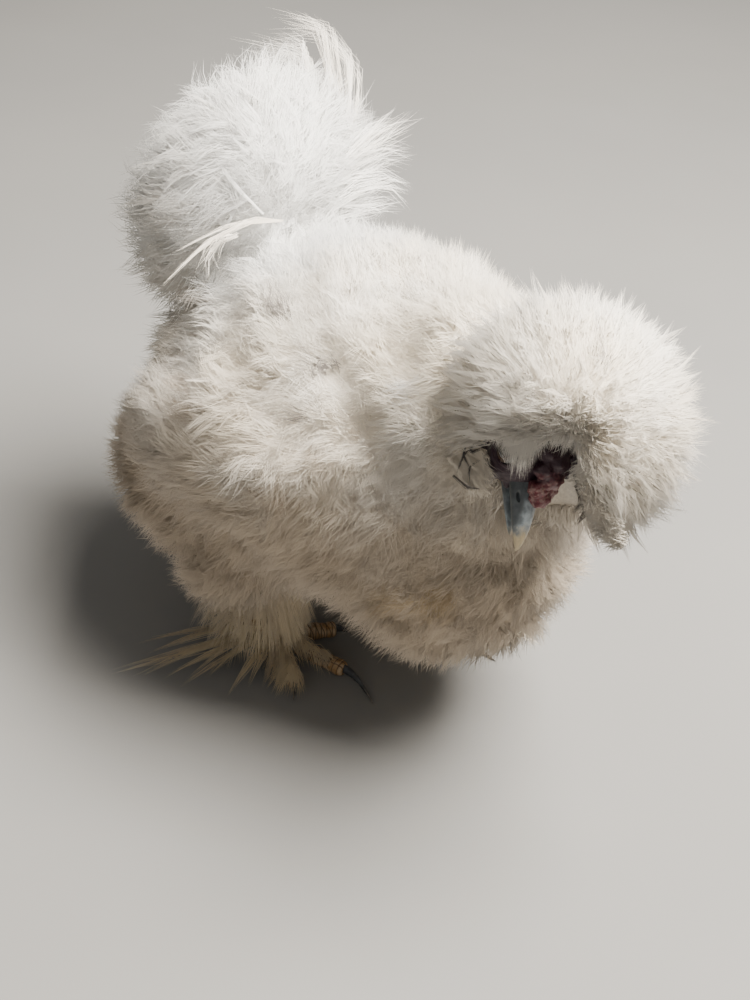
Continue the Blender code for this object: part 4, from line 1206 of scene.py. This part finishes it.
def forelock(rng, width):
    """The lock that hangs in a point over the brow, and the thin fringe over the comb."""
    lines = []
    for across, lift in FORELOCK:
        middle = -5 + 0.75 * (across + 5)
        lines.append((5, 0.9, at_face(middle, 18, 12), at_face(middle, 14, 22), at_face(across, lift, 13)))
    brow = drawn_tufts(lines, FACE_WAY, rng, width, rng.uniform(0.8, 2.4, 5 * len(FORELOCK)))
    lines = []
    for across, lift in FRINGE:
        lines.append((2, 0.7, at_face(across + 2, 17, 12), at_face(across + 1, lift + 6, 20), at_face(across, lift, 14)))
    return merged([brow, drawn_tufts(lines, FACE_WAY, rng, width, rng.uniform(0.6, 1.2, 2 * len(FRINGE)))])


# Where the tips of the cheek's tufts lie on the bill's far side, across the opening and up it.
CHEEK = (
    (-15, 3), (-14, 0), (-13, -3), (-12, -6), (-18, 2), (-17, -2), (-16, -5), (-14, -9), (-20, -1), (-19, -5),
    (-17, -9), (-20, 3), (-22, -3),
)  # fmt: skip

# The space beside the face that the crest's steep edge lies in, from low to high, and the edge's spacing.
EDGE_LOW = (3, -38, -4)
EDGE_HIGH = (34, 6, 27)
EDGE_STEP = 2.5
EDGE_SPACING = 1.9

# Thin dark plumes that curl over the cheek and beside the comb: root, the place it bows to, and tip.
CURLS = (
    ((-22, 12), (-27, 5), (-20, 0)),
    ((-19, 10), (-25, 8), (-26, -1)),
    ((-26, 8), (-20, 6), (-17, 9)),
    ((-18, 4), (-24, 2), (-21, -5)),
    ((-17, 13), (-12, 11), (-17, 5)),
    ((-27, -2), (-22, -8), (-16, -6)),
    ((18, -2), (23, -8), (17, -13)),
    ((20, -6), (25, -13), (18, -18)),
    ((17, 2), (21, -4), (20, -11)),
)


def coat_out(across, lift):
    """How far out of the face the outermost plumage lies at a place beside it."""
    outs = np.arange(45, 1.5, -0.5)
    points = at_face(across, lift, 0) + outs[:, None] * FACE_WAY
    solid = np.minimum(coat_distance(points), CREST.distance(points)) < 0
    return outs[solid.argmax()] if solid.any() else 2


def cheeks(rng, width):
    """The pale tufts down the crest's steep edge by the face, and the thin dark plumes that curl there."""
    axes = np.stack((FACE_ACROSS, FACE_LIFT, FACE_WAY))
    spots = rng.uniform(EDGE_LOW, EDGE_HIGH, (50000, 3))
    inward = unit(np.array((-4, -6, 0)) - spots * (1, 1, 0)) @ axes
    places = FACE_MIDDLE + spots @ axes
    edge = (CREST.distance(places) < 0) & (CREST.distance(places + EDGE_STEP * inward) > 0)
    places, inward = places[edge], inward[edge]
    keep = spread(places, EDGE_SPACING)
    places, inward = places[keep], inward[keep]
    out = unit(0.6 * inward + 0.9 * FACE_WAY + rng.normal(0, 0.3, places.shape))
    hang = unit(0.6 * inward - FACE_LIFT + rng.normal(0, 0.55, places.shape))
    near = np.clip((28 - spots[edge][keep, 2:]) / 18, 0.2, 1)
    tip = places + near * (1.5 * out + hang * rng.uniform(3, 7, (len(places), 1)))
    over, root = places + 2.5 * near * out, places - 3 * inward
    fan = rng.uniform(2.5, 5.5, len(places)) * near[:, 0]
    pale = make_tufts(root, over, tip, out, rng, width, 2.2, fan, flat=0.8, curl=1.2)
    lines = []
    for across, lift in CHEEK:
        out = min(coat_out(across, lift), 22)
        root, over = at_face(across - 6, lift + 7, out - 3), at_face(across - 3, lift + 4, out + 1)
        lines.append((4, 1.1, root, over, at_face(across, lift, out)))
    far = drawn_tufts(lines, FACE_WAY, rng, width, rng.uniform(2.0, 4.0, 4 * len(CHEEK)))
    lines = []
    for curl in CURLS:
        out = min(coat_out(*place) for place in curl)
        lines.append((1, 0.3, *(at_face(*place, out + proud) for place, proud in zip(curl, (-2, 3, 2)))))
    dark = drawn_tufts(lines, FACE_WAY, rng, width, 0.5, curl=0.9, foot=0.5)
    dark["tone"] = np.full(len(lines), 1.8)
    return merged([pale, far, dark])


def make_tail_coat(sizes):
    """The tail's cushion: loose plumes that fountain out of the saddle, curl, and hang over its sides."""
    rng = np.random.default_rng(23)
    width = sizes.barb_width / MM
    places = TAIL.surface(sphere_ways(14000, rng))
    places = places[beyond(TAIL_PLANES, places, -4)]
    places = places[spread(places, sizes.tail_spacing / MM)]
    count = len(places)
    aim = unit(places - TAIL.centre)
    way = laid_flat(unit(places - TAIL_ROOT) - 0.6 * UP, aim)
    way = turned(way, aim, 2.2 * swirl(places) + rng.normal(0, 0.85, count))
    standing = rng.uniform(0, 1, count) < 0.3
    run = np.where(standing, rng.uniform(6, 14, count), rng.uniform(10, 24, count))
    level = np.where(standing, rng.uniform(0, 9, count), rng.uniform(-5, 3, count))
    outward = unit(places + way * run[:, None] - TAIL.centre)
    tip = TAIL.centre + outward * (TAIL.reach(outward) + level)[:, None]
    tip = gathered(tip, 8.0, 0.25)
    over = places - aim * rng.uniform(-1, 6, count)[:, None]
    root = places - aim * (TAIL_DEPTH + 2)
    fan = fans(count, 0.35, (0.8, 2.4), (4.5, 8.0), rng)
    tufts = make_tufts(root, over, tip, aim, rng, width, 3.0, fan, flat=0.8, curl=2.2)
    tufts = merged([tufts, tail_plumes(rng, width)])
    right = tufts["over"][:, 1] < TAIL.centre[1]
    for name, rows in (("coat_tail_right", right), ("coat_tail_left", ~right)):
        add_coat(name, take(tufts, rows), 13, LONG_BARB, ["tail"], rng)


# Single plumes of the tail: how many, their scatter, and the root, the place over it and the tip.
TAIL_PLUMES = (
    (6, 3.2, (-90, 46, 206), (-95, 80, 272), (-126, 56, 262)),
    (5, 3.2, (-92, 36, 206), (-99, 64, 264), (-124, 44, 256)),
    (5, 3.0, (-86, 48, 206), (-84, 80, 250), (-106, 66, 258)),
    (4, 3.0, (-96, 40, 204), (-106, 82, 250), (-132, 44, 250)),
    (4, 3.4, (-80, 40, 204), (-70, 60, 228), (-62, 72, 228)),
    (4, 3.4, (-78, 38, 200), (-64, 58, 224), (-55, 69, 219)),
    (4, 3.4, (-76, 36, 198), (-60, 54, 216), (-49, 61, 206)),
    (4, 3.4, (-82, 40, 204), (-76, 62, 228), (-68, 66, 227)),
    (4, 3.4, (-74, 34, 194), (-60, 50, 206), (-52, 57, 198)),
    (2, 0.4, (-64, -6, 208), (-52, -48, 234), (-74, -64, 197)),
    (1, 0.4, (-66, -2, 206), (-50, -40, 232), (-78, -56, 206)),
    (1, 0.8, (-66, -14, 214), (-76, -24, 230), (-94, -16, 234)),
    (2, 1.2, (-70, -26, 206), (-66, -46, 214), (-62, -50, 200)),
)


def tail_plumes(rng, width):
    """The tail's long plumes: they arch up behind, stand away on the left and sweep over the saddle."""
    single = np.concatenate([np.full(plume[0], plume[1] < 1) for plume in TAIL_PLUMES])
    fan, curl, foot = np.where(single, 0.5, 5.5), np.where(single, 0.6, 3.0), np.where(single, 0.4, 1.2)
    return drawn_tufts(TAIL_PLUMES, (0.4, -0.2, 0.8), rng, 0.8 * width, fan, curl, foot)


# The shank's bell of feathers: the height of each tier's roots, its reach and the height of its tips.
BELL = ((62, 24, 40), (56, 24, 34), (50, 24, 27), (43, 24, 21), (36, 23, 15), (29, 22, 10), (22, 21, 6), (16, 20, 3))
BELL_COUNT = 34
BELL_OUTSIDE = 15

# The stiff fan on the foot's outer side: degrees from straight ahead, and how far its tips reach.
FAN = ((42, 37), (58, 33), (69, 34), (76, 44), (97, 44), (100, 57), (110, 61), (114, 72), (119, 80), (125, 64), (134, 67))

# The feathers of each toe: how many, how much of the toe they hide, how far they reach, and their splay.
TOE_FEATHERS = {"middle": (24, 0.7, 15, 44), "outer": (54, 1.0, 19, 60)}

# Where the tips of long, pale feathers of the outer toe lie on the floor.
STRAYS = {"right": (), "left": ((63, 55), (58, 58), (55, 61), (56, 66), (55, 71), (48, 72))}


def make_foot_coat(sizes, side):
    """The shank's bell of feathers, the stiff fan on its outer side and the feathers of the toes."""
    rng = np.random.default_rng(31 if side == "right" else 32)
    centre, outer, turn = FEET[side]
    rows = []
    for tier, (high, reach, low) in enumerate(BELL):
        for i in range(BELL_COUNT):
            degrees = 360 * (i + 0.5 * tier) / BELL_COUNT + rng.uniform(-6, 6)
            way = toe_way(degrees, outer)
            outside = max(0.0, math.cos(math.radians(degrees - BELL_DEGREES)))
            base = centre + np.array((LEG_LEAN * high / 38, 0, high)) + way * (SHANK_RADIUS + 9 * outside)
            far = (reach + BELL_OUTSIDE * outside) * rng.uniform(0.85, 1.12)
            far *= 1 - 0.3 * max(0.0, math.cos(math.radians(degrees + 38)))
            tip = centre + way * far + UP * max(low * rng.uniform(0.6, 1.3), 1.5)
            over = base + way * (8 + 6 * outside) + UP * rng.uniform(-5, 0)
            rows.append((base, over, tip, way, 0.27, rng.choice((3.0, 5.5, 7.5))))
    for degrees, reach in FAN:
        for _ in range(2):
            way = toe_way(degrees + rng.normal(0, 0.8), outer)
            far = reach * rng.uniform(0.93, 1.02)
            height = rng.uniform(6, 14)
            bow = toe_way(degrees + rng.normal(-8, 4), outer)
            over = centre + bow * far * 0.55 + UP * (height + rng.uniform(2, 8))
            tip = centre + way * far + UP * rng.uniform(1.2, 3.5)
            rows.append((centre + way * 4 + UP * height, over, tip, UP, 0.30, rng.uniform(0.5, 1.0)))
    for name, (count, hidden, reach, splay) in TOE_FEATHERS.items():
        start, run, across, lift, length = toe_line(centre, outer, turn, TOES[name])
        for i in range(count):
            share = i / (count - 1) * hidden
            way = toe_way(TOES[name][0] + turn + splay * rng.uniform(-0.35, 1.0), outer)
            far = reach * rng.uniform(0.6, 1.1) * (1 - 0.3 * share)
            base = start + run * length * 0.85 * share + lift * 2.5
            over = base + way * far * 0.45 + UP * rng.uniform(4, 8)
            tip = base * (1, 1, 0) + way * far + UP * rng.uniform(0.8, 2.5)
            rows.append((base, over, tip, UP, 0.32, rng.uniform(1.0, 3.2)))
    end = centre + toe_way(TOES["outer"][0] + turn, outer) * TOES["outer"][1]
    for tip in STRAYS[side]:
        tip = np.array((*tip, rng.uniform(1.5, 4)))
        over = (end + tip) / 2 + UP * rng.uniform(6, 11)
        rows.append((end + UP * 5, over, tip, UP, 0.32, 1.8))
    root, over, tip, out, width, fan = (np.array(column, float) for column in zip(*rows))
    tufts = make_tufts(root, over, tip, out, rng, width, 1.8, fan, flat=0.5, curl=0.8)
    nodes = [f"shank_{side}", f"toe_middle_{side}", f"toe_outer_{side}"]
    add_coat(f"coat_foot_{side}", tufts, 15, LONG_BARB, nodes, rng)


# Face


def make_bill(colours):
    """Both halves of the bill, with a ridged upper half, a hooked tip and a nostril each side."""
    root = at_head(BILL_ROOT, 0, 0)
    bill = horn_material("bill_horn_layers", colours.bill, colours.bill_tip, root, BILL_LENGTH, FORWARD, RIGHT)
    rings = []
    for share in np.linspace(0, 0.97, 22):
        narrow = (1 - share**1.7) ** 0.75
        centre = at_head(BILL_ROOT + 0.15 + BILL_LENGTH * share, 0, -BILL_HOOK * share**2)
        size = (BILL_HALF_WIDTH * narrow, BILL_HALF_HEIGHT * narrow**0.9)
        rings.append(ring(centre, RIGHT, CROWN, *size, 40, ridge=0.16, flat=0.55))
    bm = bmesh.new()
    loft(bm, rings, at_head(BILL_ROOT + BILL_LENGTH, 0, -4.6))
    nostrils = bmesh.new()
    for side in (-1, 1):
        head_ball(nostrils, (21.5, side * 5.0, 2.2), (2.3, 1.1, 0.75))
    bm = joined([bm, nostrils], "DIFFERENCE")
    add_piece("bill_upper_horn", mesh_from(bm, "bill_upper_horn"), bill, ["bill_upper"])
    rings = []
    for share in np.linspace(0, 0.97, 18):
        narrow = (1 - share) ** 0.7
        centre = at_head(BILL_ROOT + 0.15 + LOWER_BILL_LENGTH * share, 0, -5.0 - 1.2 * share)
        size = (LOWER_BILL_HALF_WIDTH * narrow, LOWER_BILL_HALF_HEIGHT * narrow)
        rings.append(ring(centre, RIGHT, CROWN, *size, 36))
    bm = bmesh.new()
    loft(bm, rings, at_head(BILL_ROOT + LOWER_BILL_LENGTH, 0, -6.1))
    add_piece("bill_lower_horn", mesh_from(bm, "bill_lower_horn"), bill, ["bill_lower"])


COMB_BULBS = (
    (9, 0, 15.5, 6.0),
    (6, 4, 15, 4.6),
    (6, -4, 15, 4.6),
    (12, 4.2, 13.5, 4.4),
    (12, -4.2, 13.5, 4.4),
    (15, 0, 13.5, 5.0),
    (19, 3.0, 9.5, 4.0),
    (19, -3.0, 9.5, 4.0),
    (22, 0, 8.0, 4.4),
)


def comb_material(colours):
    """Mulberry flesh, redder and dusted pale on its foremost bulbs, and darkest in its furrows by painted shade."""
    material, nodes, shader, place = new_material("comb_flesh")
    far = nodes.vector("DOT_PRODUCT", nodes.vector("SUBTRACT", place, to_frame(at_head(0, 0, 0))), tuple(FORWARD))
    cloud = nodes.noise(place, 260.0, 4.0)
    front = nodes.math("ADD", far, nodes.math("MULTIPLY", nodes.math("SUBTRACT", cloud, 0.5), 0.012))
    colour = nodes.mix(nodes.span(front, 0.0135, 0.0185), opaque(colours.comb), opaque(colours.comb_front))
    dust = nodes.span(nodes.noise(place, 500.0, 3.0), 0.46, 0.62)
    dust = nodes.math("MULTIPLY", dust, nodes.span(front, 0.014, 0.020, 0.0, 0.75))
    colour = nodes.mix(dust, colour, opaque(colours.dust))
    cells = nodes.add("ShaderNodeTexVoronoi", {"Vector": place, "Scale": 750.0}).outputs["Distance"]
    # Painted shade: the flesh darkens in the furrows between the warts.
    colour = nodes.mix(nodes.span(cells, 0.0, 0.5, 0.0, 0.35), colour, opaque(colours.comb, 0.45))
    nodes.feed(shader.inputs["Base Color"], colour)
    nodes.feed(shader.inputs["Normal"], nodes.bump(cells, 0.6, 0.35 * MM))
    nodes.feed(shader.inputs["Roughness"], nodes.span(cloud, 0.3, 0.7, 0.35, 0.6))
    shader.inputs["Subsurface Weight"].default_value = 0.0
    return material


def make_comb(colours):
    """A walnut comb: bulbs fused over the bill's root, each covered in smaller warts."""
    rng = np.random.default_rng(41)
    bm = bmesh.new()
    for forward, right, crown, radius in COMB_BULBS:
        head_ball(bm, (forward, right, crown), (radius * 0.92,) * 3, 3)
        centre = at_head(forward, right, crown)
        for way in sphere_ways(16, rng):
            wart = rng.uniform(0.9, 1.6)
            ball(bm, centre + way * (radius - wart * 0.75), (wart,) * 3, None, 2)
    bm = fused(bm, 0.42, 2)
    add_piece("comb_bulbs", mesh_from(bm, "comb_bulbs"), comb_material(colours), ["comb"])


def make_wattles(colours):
    """Small dark wattles under the bill's root, and the pale blue-green lobes behind them."""
    flesh = skin_material("wattle_folds", colours.skin, colours.comb, 600.0, 0.3, 0.45)
    lobe = skin_material("lobe_folds", colours.lobe, colours.lobe_light, 600.0, 0.3, 0.5)
    for side, label in ((-1, "left"), (1, "right")):
        for name, place, radii, material, slot in (
            ("wattle", (13, side * 7.2, -12.5), (4.0, 2.4, 6.0), flesh, "comb_skin"),
            ("lobe", (-5, side * 14.5, -4), (4.2, 2.6, 5.0), lobe, "lobe_skin"),
        ):
            bm = bmesh.new()
            head_ball(bm, place, radii, 5)
            middle = at_head(*place)
            for vert in bm.verts:
                off = np.array(vert.co) - middle
                pleat = 0.18 * math.sin(off @ FORWARD * 2.4 + 0.8 * math.sin(off @ CROWN * 1.1))
                vert.co += Vector(unit(off) * pleat)
            title = f"{name}_{label}_flesh"
            add_piece(title, mesh_from(bm, title), material, [f"{name}_{label}"])


def eye_material(colours):
    """A dark brown iris round a black pupil, under a wet cornea."""
    material, nodes, shader, place = new_material("eye_wet")
    off = nodes.vector("SUBTRACT", place, to_frame(at_head(EYE_PLACE[0], 0, EYE_PLACE[2])))
    out = nodes.vector("DOT_PRODUCT", off, tuple(RIGHT))
    square = nodes.math("SUBTRACT", nodes.vector("DOT_PRODUCT", off, off), nodes.math("MULTIPLY", out, out))
    far = nodes.math("SQRT", nodes.math("MAXIMUM", square, 0.0))
    streaks = nodes.noise(place, 2200.0, 2.0)
    iris = nodes.mix(nodes.span(streaks, 0.3, 0.7), opaque(colours.iris, 0.6), opaque(colours.iris, 1.5))
    colour = nodes.mix(nodes.span(far, 0.0017, 0.0020), opaque((0.004, 0.004, 0.004)), iris)
    colour = nodes.mix(nodes.span(far, 0.0034, 0.0038), colour, opaque((0.01, 0.008, 0.008)))
    nodes.feed(shader.inputs["Base Color"], colour)
    shader.inputs["Roughness"].default_value = 0.06
    shader.inputs["Coat Weight"].default_value = 1.0
    shader.inputs["Coat Roughness"].default_value = 0.02
    return material


def make_eyes(colours):
    """Round, wet eyes, sunk behind their lids, with a cornea that stands a little proud."""
    material = eye_material(colours)
    for side, label in ((-1, "left"), (1, "right")):
        bm = bmesh.new()
        verts = bmesh.ops.create_uvsphere(bm, u_segments=40, v_segments=28, radius=EYE_RADIUS)["verts"]
        for vert in verts:
            off = math.hypot(vert.co.x, vert.co.y)
            if vert.co.z > 0 and off < 3.2:
                vert.co.z += 0.35 * (1 - (off / 3.2) ** 2)
        aim = Vector(RIGHT * side)
        bmesh.ops.rotate(bm, matrix=Vector(UP).rotation_difference(aim).to_matrix(), verts=verts)
        bmesh.ops.translate(bm, vec=at_head(EYE_PLACE[0], side * EYE_PLACE[1], EYE_PLACE[2]), verts=verts)
        add_piece(f"eye_{label}_wet", mesh_from(bm, f"eye_{label}_wet"), material, [f"eye_{label}"])


def make_claws(colours):
    """Curved, tapering claws with a flattened underside."""
    for side, (centre, outer, turn) in FEET.items():
        for name, toe in TOES.items():
            root, run, across, lift, length = toe_line(centre, outer, turn, toe)
            claw = toe[3]
            root = root + run * (length - 0.9)
            swing = toe_way(toe[0] + turn + 90, outer) * CLAW_BEND[side] - lift * CLAW_DROP
            rings = []
            for share in np.linspace(0, 0.96, 14):
                radius = TOE_RADIUS * 0.58 * (1 - share) ** 0.75
                place = root + run * (claw + 0.9) * share + swing * share**2 * claw + lift * 0.4
                place[2] = max(place[2], radius * 0.75 + 0.25)
                rings.append(ring(place, across, lift, radius * 0.72, radius, 18, ridge=0.12, flat=0.3))
            tip = root + run * (claw + 0.9) + swing * claw
            tip[2] = max(tip[2], 0.5)
            bm = bmesh.new()
            loft(bm, rings, tip)
            title = f"claw_{name}_{side}"
            horn = horn_material(f"{title}_horn", colours.claw, colours.claw_tip, root, claw, run, across)
            add_piece(f"{title}_nail", mesh_from(bm, title), horn, [title])


# Studio


def make_studio(studio):
    """A pale floor, soft lights and the camera."""
    bm = bmesh.new()
    bmesh.ops.create_circle(bm, cap_ends=True, segments=96, radius=6.0)
    mesh = bpy.data.meshes.new("floor")
    bm.to_mesh(mesh)
    bm.free()
    floor = bpy.data.objects.new("floor", mesh)
    bpy.context.scene.collection.objects.link(floor)
    material, nodes, shader, place = new_material("pale_floor")
    cloud = nodes.noise(place, 3.0, 4.0)
    pale = nodes.mix(nodes.span(cloud, 0.3, 0.7), opaque(studio.floor, 0.96), opaque(studio.floor, 1.03))
    nodes.feed(shader.inputs["Base Color"], pale)
    shader.inputs["Roughness"].default_value = 0.8
    mesh.materials.append(material)

    world = bpy.data.worlds.new("soft_room")
    world.use_nodes = True
    back = world.node_tree.nodes["Background"]
    back.inputs["Color"].default_value = opaque((1.0, 0.98, 0.95))
    back.inputs["Strength"].default_value = studio.room
    bpy.context.scene.world = world

    target = np.array((0.0, 0.0, 0.13))
    lights = (
        ("key", (0.39, 0.29, 1.22), 0.7, studio.key, (1.0, 0.95, 0.87)),
        ("fill", (0.9, -1.5, 0.9), 1.6, studio.fill, (1.0, 0.97, 0.93)),
    )
    for name, place, size, power, colour in lights:
        light = bpy.data.lights.new(name, "AREA")
        light.size = size
        light.energy = power
        light.color = colour
        lamp = bpy.data.objects.new(name, light)
        lamp.location = place
        aim = Vector(target - np.array(place))
        lamp.rotation_euler = aim.to_track_quat("-Z", "Y").to_euler()
        bpy.context.scene.collection.objects.link(lamp)

    azimuth, pitch, roll = studio.azimuth, studio.pitch, studio.roll
    ahead = Vector((-math.sin(azimuth) * math.cos(pitch), math.cos(azimuth) * math.cos(pitch), -math.sin(pitch)))
    right = Vector((math.cos(azimuth), math.sin(azimuth), 0))
    upward = right.cross(ahead)
    level = (right * math.cos(roll) + upward * math.sin(roll), upward * math.cos(roll) - right * math.sin(roll))
    lens = bpy.data.cameras.new("camera")
    lens.sensor_width = 36.0
    lens.lens = 36.0 * studio.focal / 1000
    camera = bpy.data.objects.new("camera", lens)
    camera.matrix_world = Matrix.Translation(to_frame(studio.eye)) @ Matrix((*level, -ahead)).transposed().to_4x4()
    bpy.context.scene.collection.objects.link(camera)
    bpy.context.scene.camera = camera


# Settings


def tint(name, description, colour):
    return FloatVectorProperty(name=name, description=description, default=colour, subtype="COLOR", min=0, max=1)


class SilkiePlumage(bpy.types.PropertyGroup):
    """How fine and how dense the plumage is."""

    barb_width: FloatProperty(name="Barb width", description="Width of a barb at its thickest", default=0.00028, unit="LENGTH")
    tuft_spacing: FloatProperty(name="Tuft spacing", description="Least distance between the body's tufts", default=0.0036, unit="LENGTH")
    crest_spacing: FloatProperty(name="Crest spacing", description="Least distance between the crest's tufts", default=0.0030, unit="LENGTH")
    tail_spacing: FloatProperty(name="Tail spacing", description="Least distance between the tail's tufts", default=0.0039, unit="LENGTH")


class SilkieColours(bpy.types.PropertyGroup):
    """The bird's colours."""

    white: tint("White", "Clean white plumage", (0.94, 0.93, 0.90))
    cream: tint("Cream", "Cream plumage", (0.92, 0.83, 0.69))
    # Painted warm light: the colour that sunlight gives the top of the back.
    painted_sunlight: tint("Warm cream", "The warmest plumage on the back", (0.93, 0.80, 0.60))
    # Partly real dust on the lower body, partly painted shade there.
    beige_dust_and_shade: tint("Beige", "Dusty plumage on the lower body", (0.54, 0.43, 0.31))
    grey: tint("Grey", "Dark barbs", (0.16, 0.14, 0.13))
    brown: tint("Brown", "Brown barbs", (0.36, 0.25, 0.16))
    stain: tint("Stain", "Yellow-brown stains on the breast", (0.50, 0.36, 0.19))
    foot: tint("Foot feathers", "Ochre feathers of the feet", (0.92, 0.77, 0.52))
    skin: tint("Face skin", "Dark mulberry face", (0.035, 0.018, 0.026))
    skin_light: tint("Face skin, lit", "Paler folds of the face", (0.055, 0.030, 0.040))
    comb: tint("Comb", "Dark comb", (0.038, 0.011, 0.020))
    comb_front: tint("Comb front", "The comb's redder front", (0.16, 0.028, 0.035))
    dust: tint("Comb dust", "Dry pale flecks on the comb", (0.40, 0.25, 0.22))
    lobe: tint("Ear lobe", "Blue-green ear lobe", (0.07, 0.16, 0.19))
    lobe_light: tint("Ear lobe, pale", "The ear lobe's paler folds", (0.22, 0.38, 0.40))
    bill: tint("Bill", "Slate bill", (0.25, 0.285, 0.305))
    bill_tip: tint("Bill tip", "Yellowish horn at the bill's tip", (0.50, 0.40, 0.24))
    iris: tint("Iris", "Dark brown iris", (0.045, 0.020, 0.010))
    toe: tint("Toe", "Tan toe skin", (0.36, 0.20, 0.075))
    toe_dusty: tint("Toe, dusty", "Dusty toe skin", (0.50, 0.36, 0.22))
    claw: tint("Claw", "Dark slate claw", (0.055, 0.058, 0.062))
    claw_tip: tint("Claw tip", "Worn claw tip", (0.16, 0.14, 0.12))


class SilkieStudio(bpy.types.PropertyGroup):
    """The camera, the floor and the lights."""

    azimuth: FloatProperty(name="Azimuth", description="Camera's turn round the bird", default=math.radians(38), subtype="ANGLE")
    pitch: FloatProperty(name="Pitch", description="How far the camera looks down", default=math.radians(39), subtype="ANGLE")
    roll: FloatProperty(name="Roll", description="Camera's lean", default=math.radians(4.8), subtype="ANGLE")
    focal: FloatProperty(name="Focal length", description="In thousandths of the frame's long side", default=1450)
    eye: FloatVectorProperty(name="Eye", description="Camera's place in the bird's millimetres", default=(313.4, -407.8, 506.0))
    floor: tint("Floor", "Pale floor", (0.27, 0.265, 0.255))
    key: FloatProperty(name="Key", description="Power of the high soft light on the bird's left", default=80.0, unit="POWER")
    fill: FloatProperty(name="Fill", description="Power of the wide light in front", default=2.0, unit="POWER")
    room: FloatProperty(name="Room", description="Strength of the light from all round", default=0.22)


class SilkieStep(bpy.types.Operator):
    """One step of dressing the bird"""

    def execute(self, context):
        self.dress(context.scene)
        return {"FINISHED"}


class SILKIE_OT_skin(SilkieStep):
    """Lay one skin over the flesh, and mix the plumage's colours"""

    bl_idname = "silkie.skin"
    bl_label = "Skin"

    def dress(self, scene):
        plumage_group(scene.silkie_colours)
        plumage_material(scene.silkie_colours)
        make_skin(scene.silkie_colours)


class SILKIE_OT_body_coat(SilkieStep):
    """Grow the fluff of the body, neck, wings and thighs"""

    bl_idname = "silkie.body_coat"
    bl_label = "Body plumage"

    def dress(self, scene):
        make_body_coat(scene.silkie_plumage)


class SILKIE_OT_crest_coat(SilkieStep):
    """Grow the globe of the crest"""

    bl_idname = "silkie.crest_coat"
    bl_label = "Crest"

    def dress(self, scene):
        make_crest_coat(scene.silkie_plumage)


class SILKIE_OT_tail_coat(SilkieStep):
    """Grow the cushion of the tail"""

    bl_idname = "silkie.tail_coat"
    bl_label = "Tail"

    def dress(self, scene):
        make_tail_coat(scene.silkie_plumage)


class SILKIE_OT_foot_coat(SilkieStep):
    """Grow the feathers of the shanks and toes"""

    bl_idname = "silkie.foot_coat"
    bl_label = "Foot feathers"

    def dress(self, scene):
        for side in FEET:
            make_foot_coat(scene.silkie_plumage, side)


class SILKIE_OT_face(SilkieStep):
    """Model the bill, comb, wattles, lobes and eyes"""

    bl_idname = "silkie.face"
    bl_label = "Face"

    def dress(self, scene):
        make_bill(scene.silkie_colours)
        make_comb(scene.silkie_colours)
        make_wattles(scene.silkie_colours)
        make_eyes(scene.silkie_colours)


class SILKIE_OT_claws(SilkieStep):
    """Model the claws"""

    bl_idname = "silkie.claws"
    bl_label = "Claws"

    def dress(self, scene):
        make_claws(scene.silkie_colours)


class SILKIE_OT_studio(SilkieStep):
    """Set up the floor, the lights and the camera"""

    bl_idname = "silkie.studio"
    bl_label = "Studio"

    def dress(self, scene):
        make_studio(scene.silkie_studio)


STEPS = (
    SILKIE_OT_studio,
    SILKIE_OT_skin,
    SILKIE_OT_face,
    SILKIE_OT_claws,
    SILKIE_OT_body_coat,
    SILKIE_OT_crest_coat,
    SILKIE_OT_tail_coat,
    SILKIE_OT_foot_coat,
)


class SILKIE_PT_panel(bpy.types.Panel):
    """The steps of dressing the bird, with their sizes and colours"""

    bl_idname = "SILKIE_PT_panel"
    bl_label = "Silkie chicken"
    bl_space_type = "VIEW_3D"
    bl_region_type = "UI"
    bl_category = "Silkie"

    def draw(self, context):
        for step in STEPS:
            self.layout.operator(step.bl_idname)
        for settings in (
            context.scene.silkie_plumage,
            context.scene.silkie_colours,
            context.scene.silkie_studio,
        ):
            box = self.layout.box()
            for name in settings.__annotations__:
                box.prop(settings, name)


SETTINGS = {
    "silkie_plumage": SilkiePlumage,
    "silkie_colours": SilkieColours,
    "silkie_studio": SilkieStudio,
}


def register():
    for kind in (*SETTINGS.values(), *STEPS, SILKIE_PT_panel):
        bpy.utils.register_class(kind)
    for name, kind in SETTINGS.items():
        setattr(bpy.types.Scene, name, PointerProperty(type=kind))


def unregister():
    for name in SETTINGS:
        delattr(bpy.types.Scene, name)
    for kind in (SILKIE_PT_panel, *reversed(STEPS), *SETTINGS.values()):
        bpy.utils.unregister_class(kind)


def main():
    register()
    for step in STEPS:
        group, name = step.bl_idname.split(".")
        getattr(getattr(bpy.ops, group), name)()


if __name__ == "__main__":
    main()
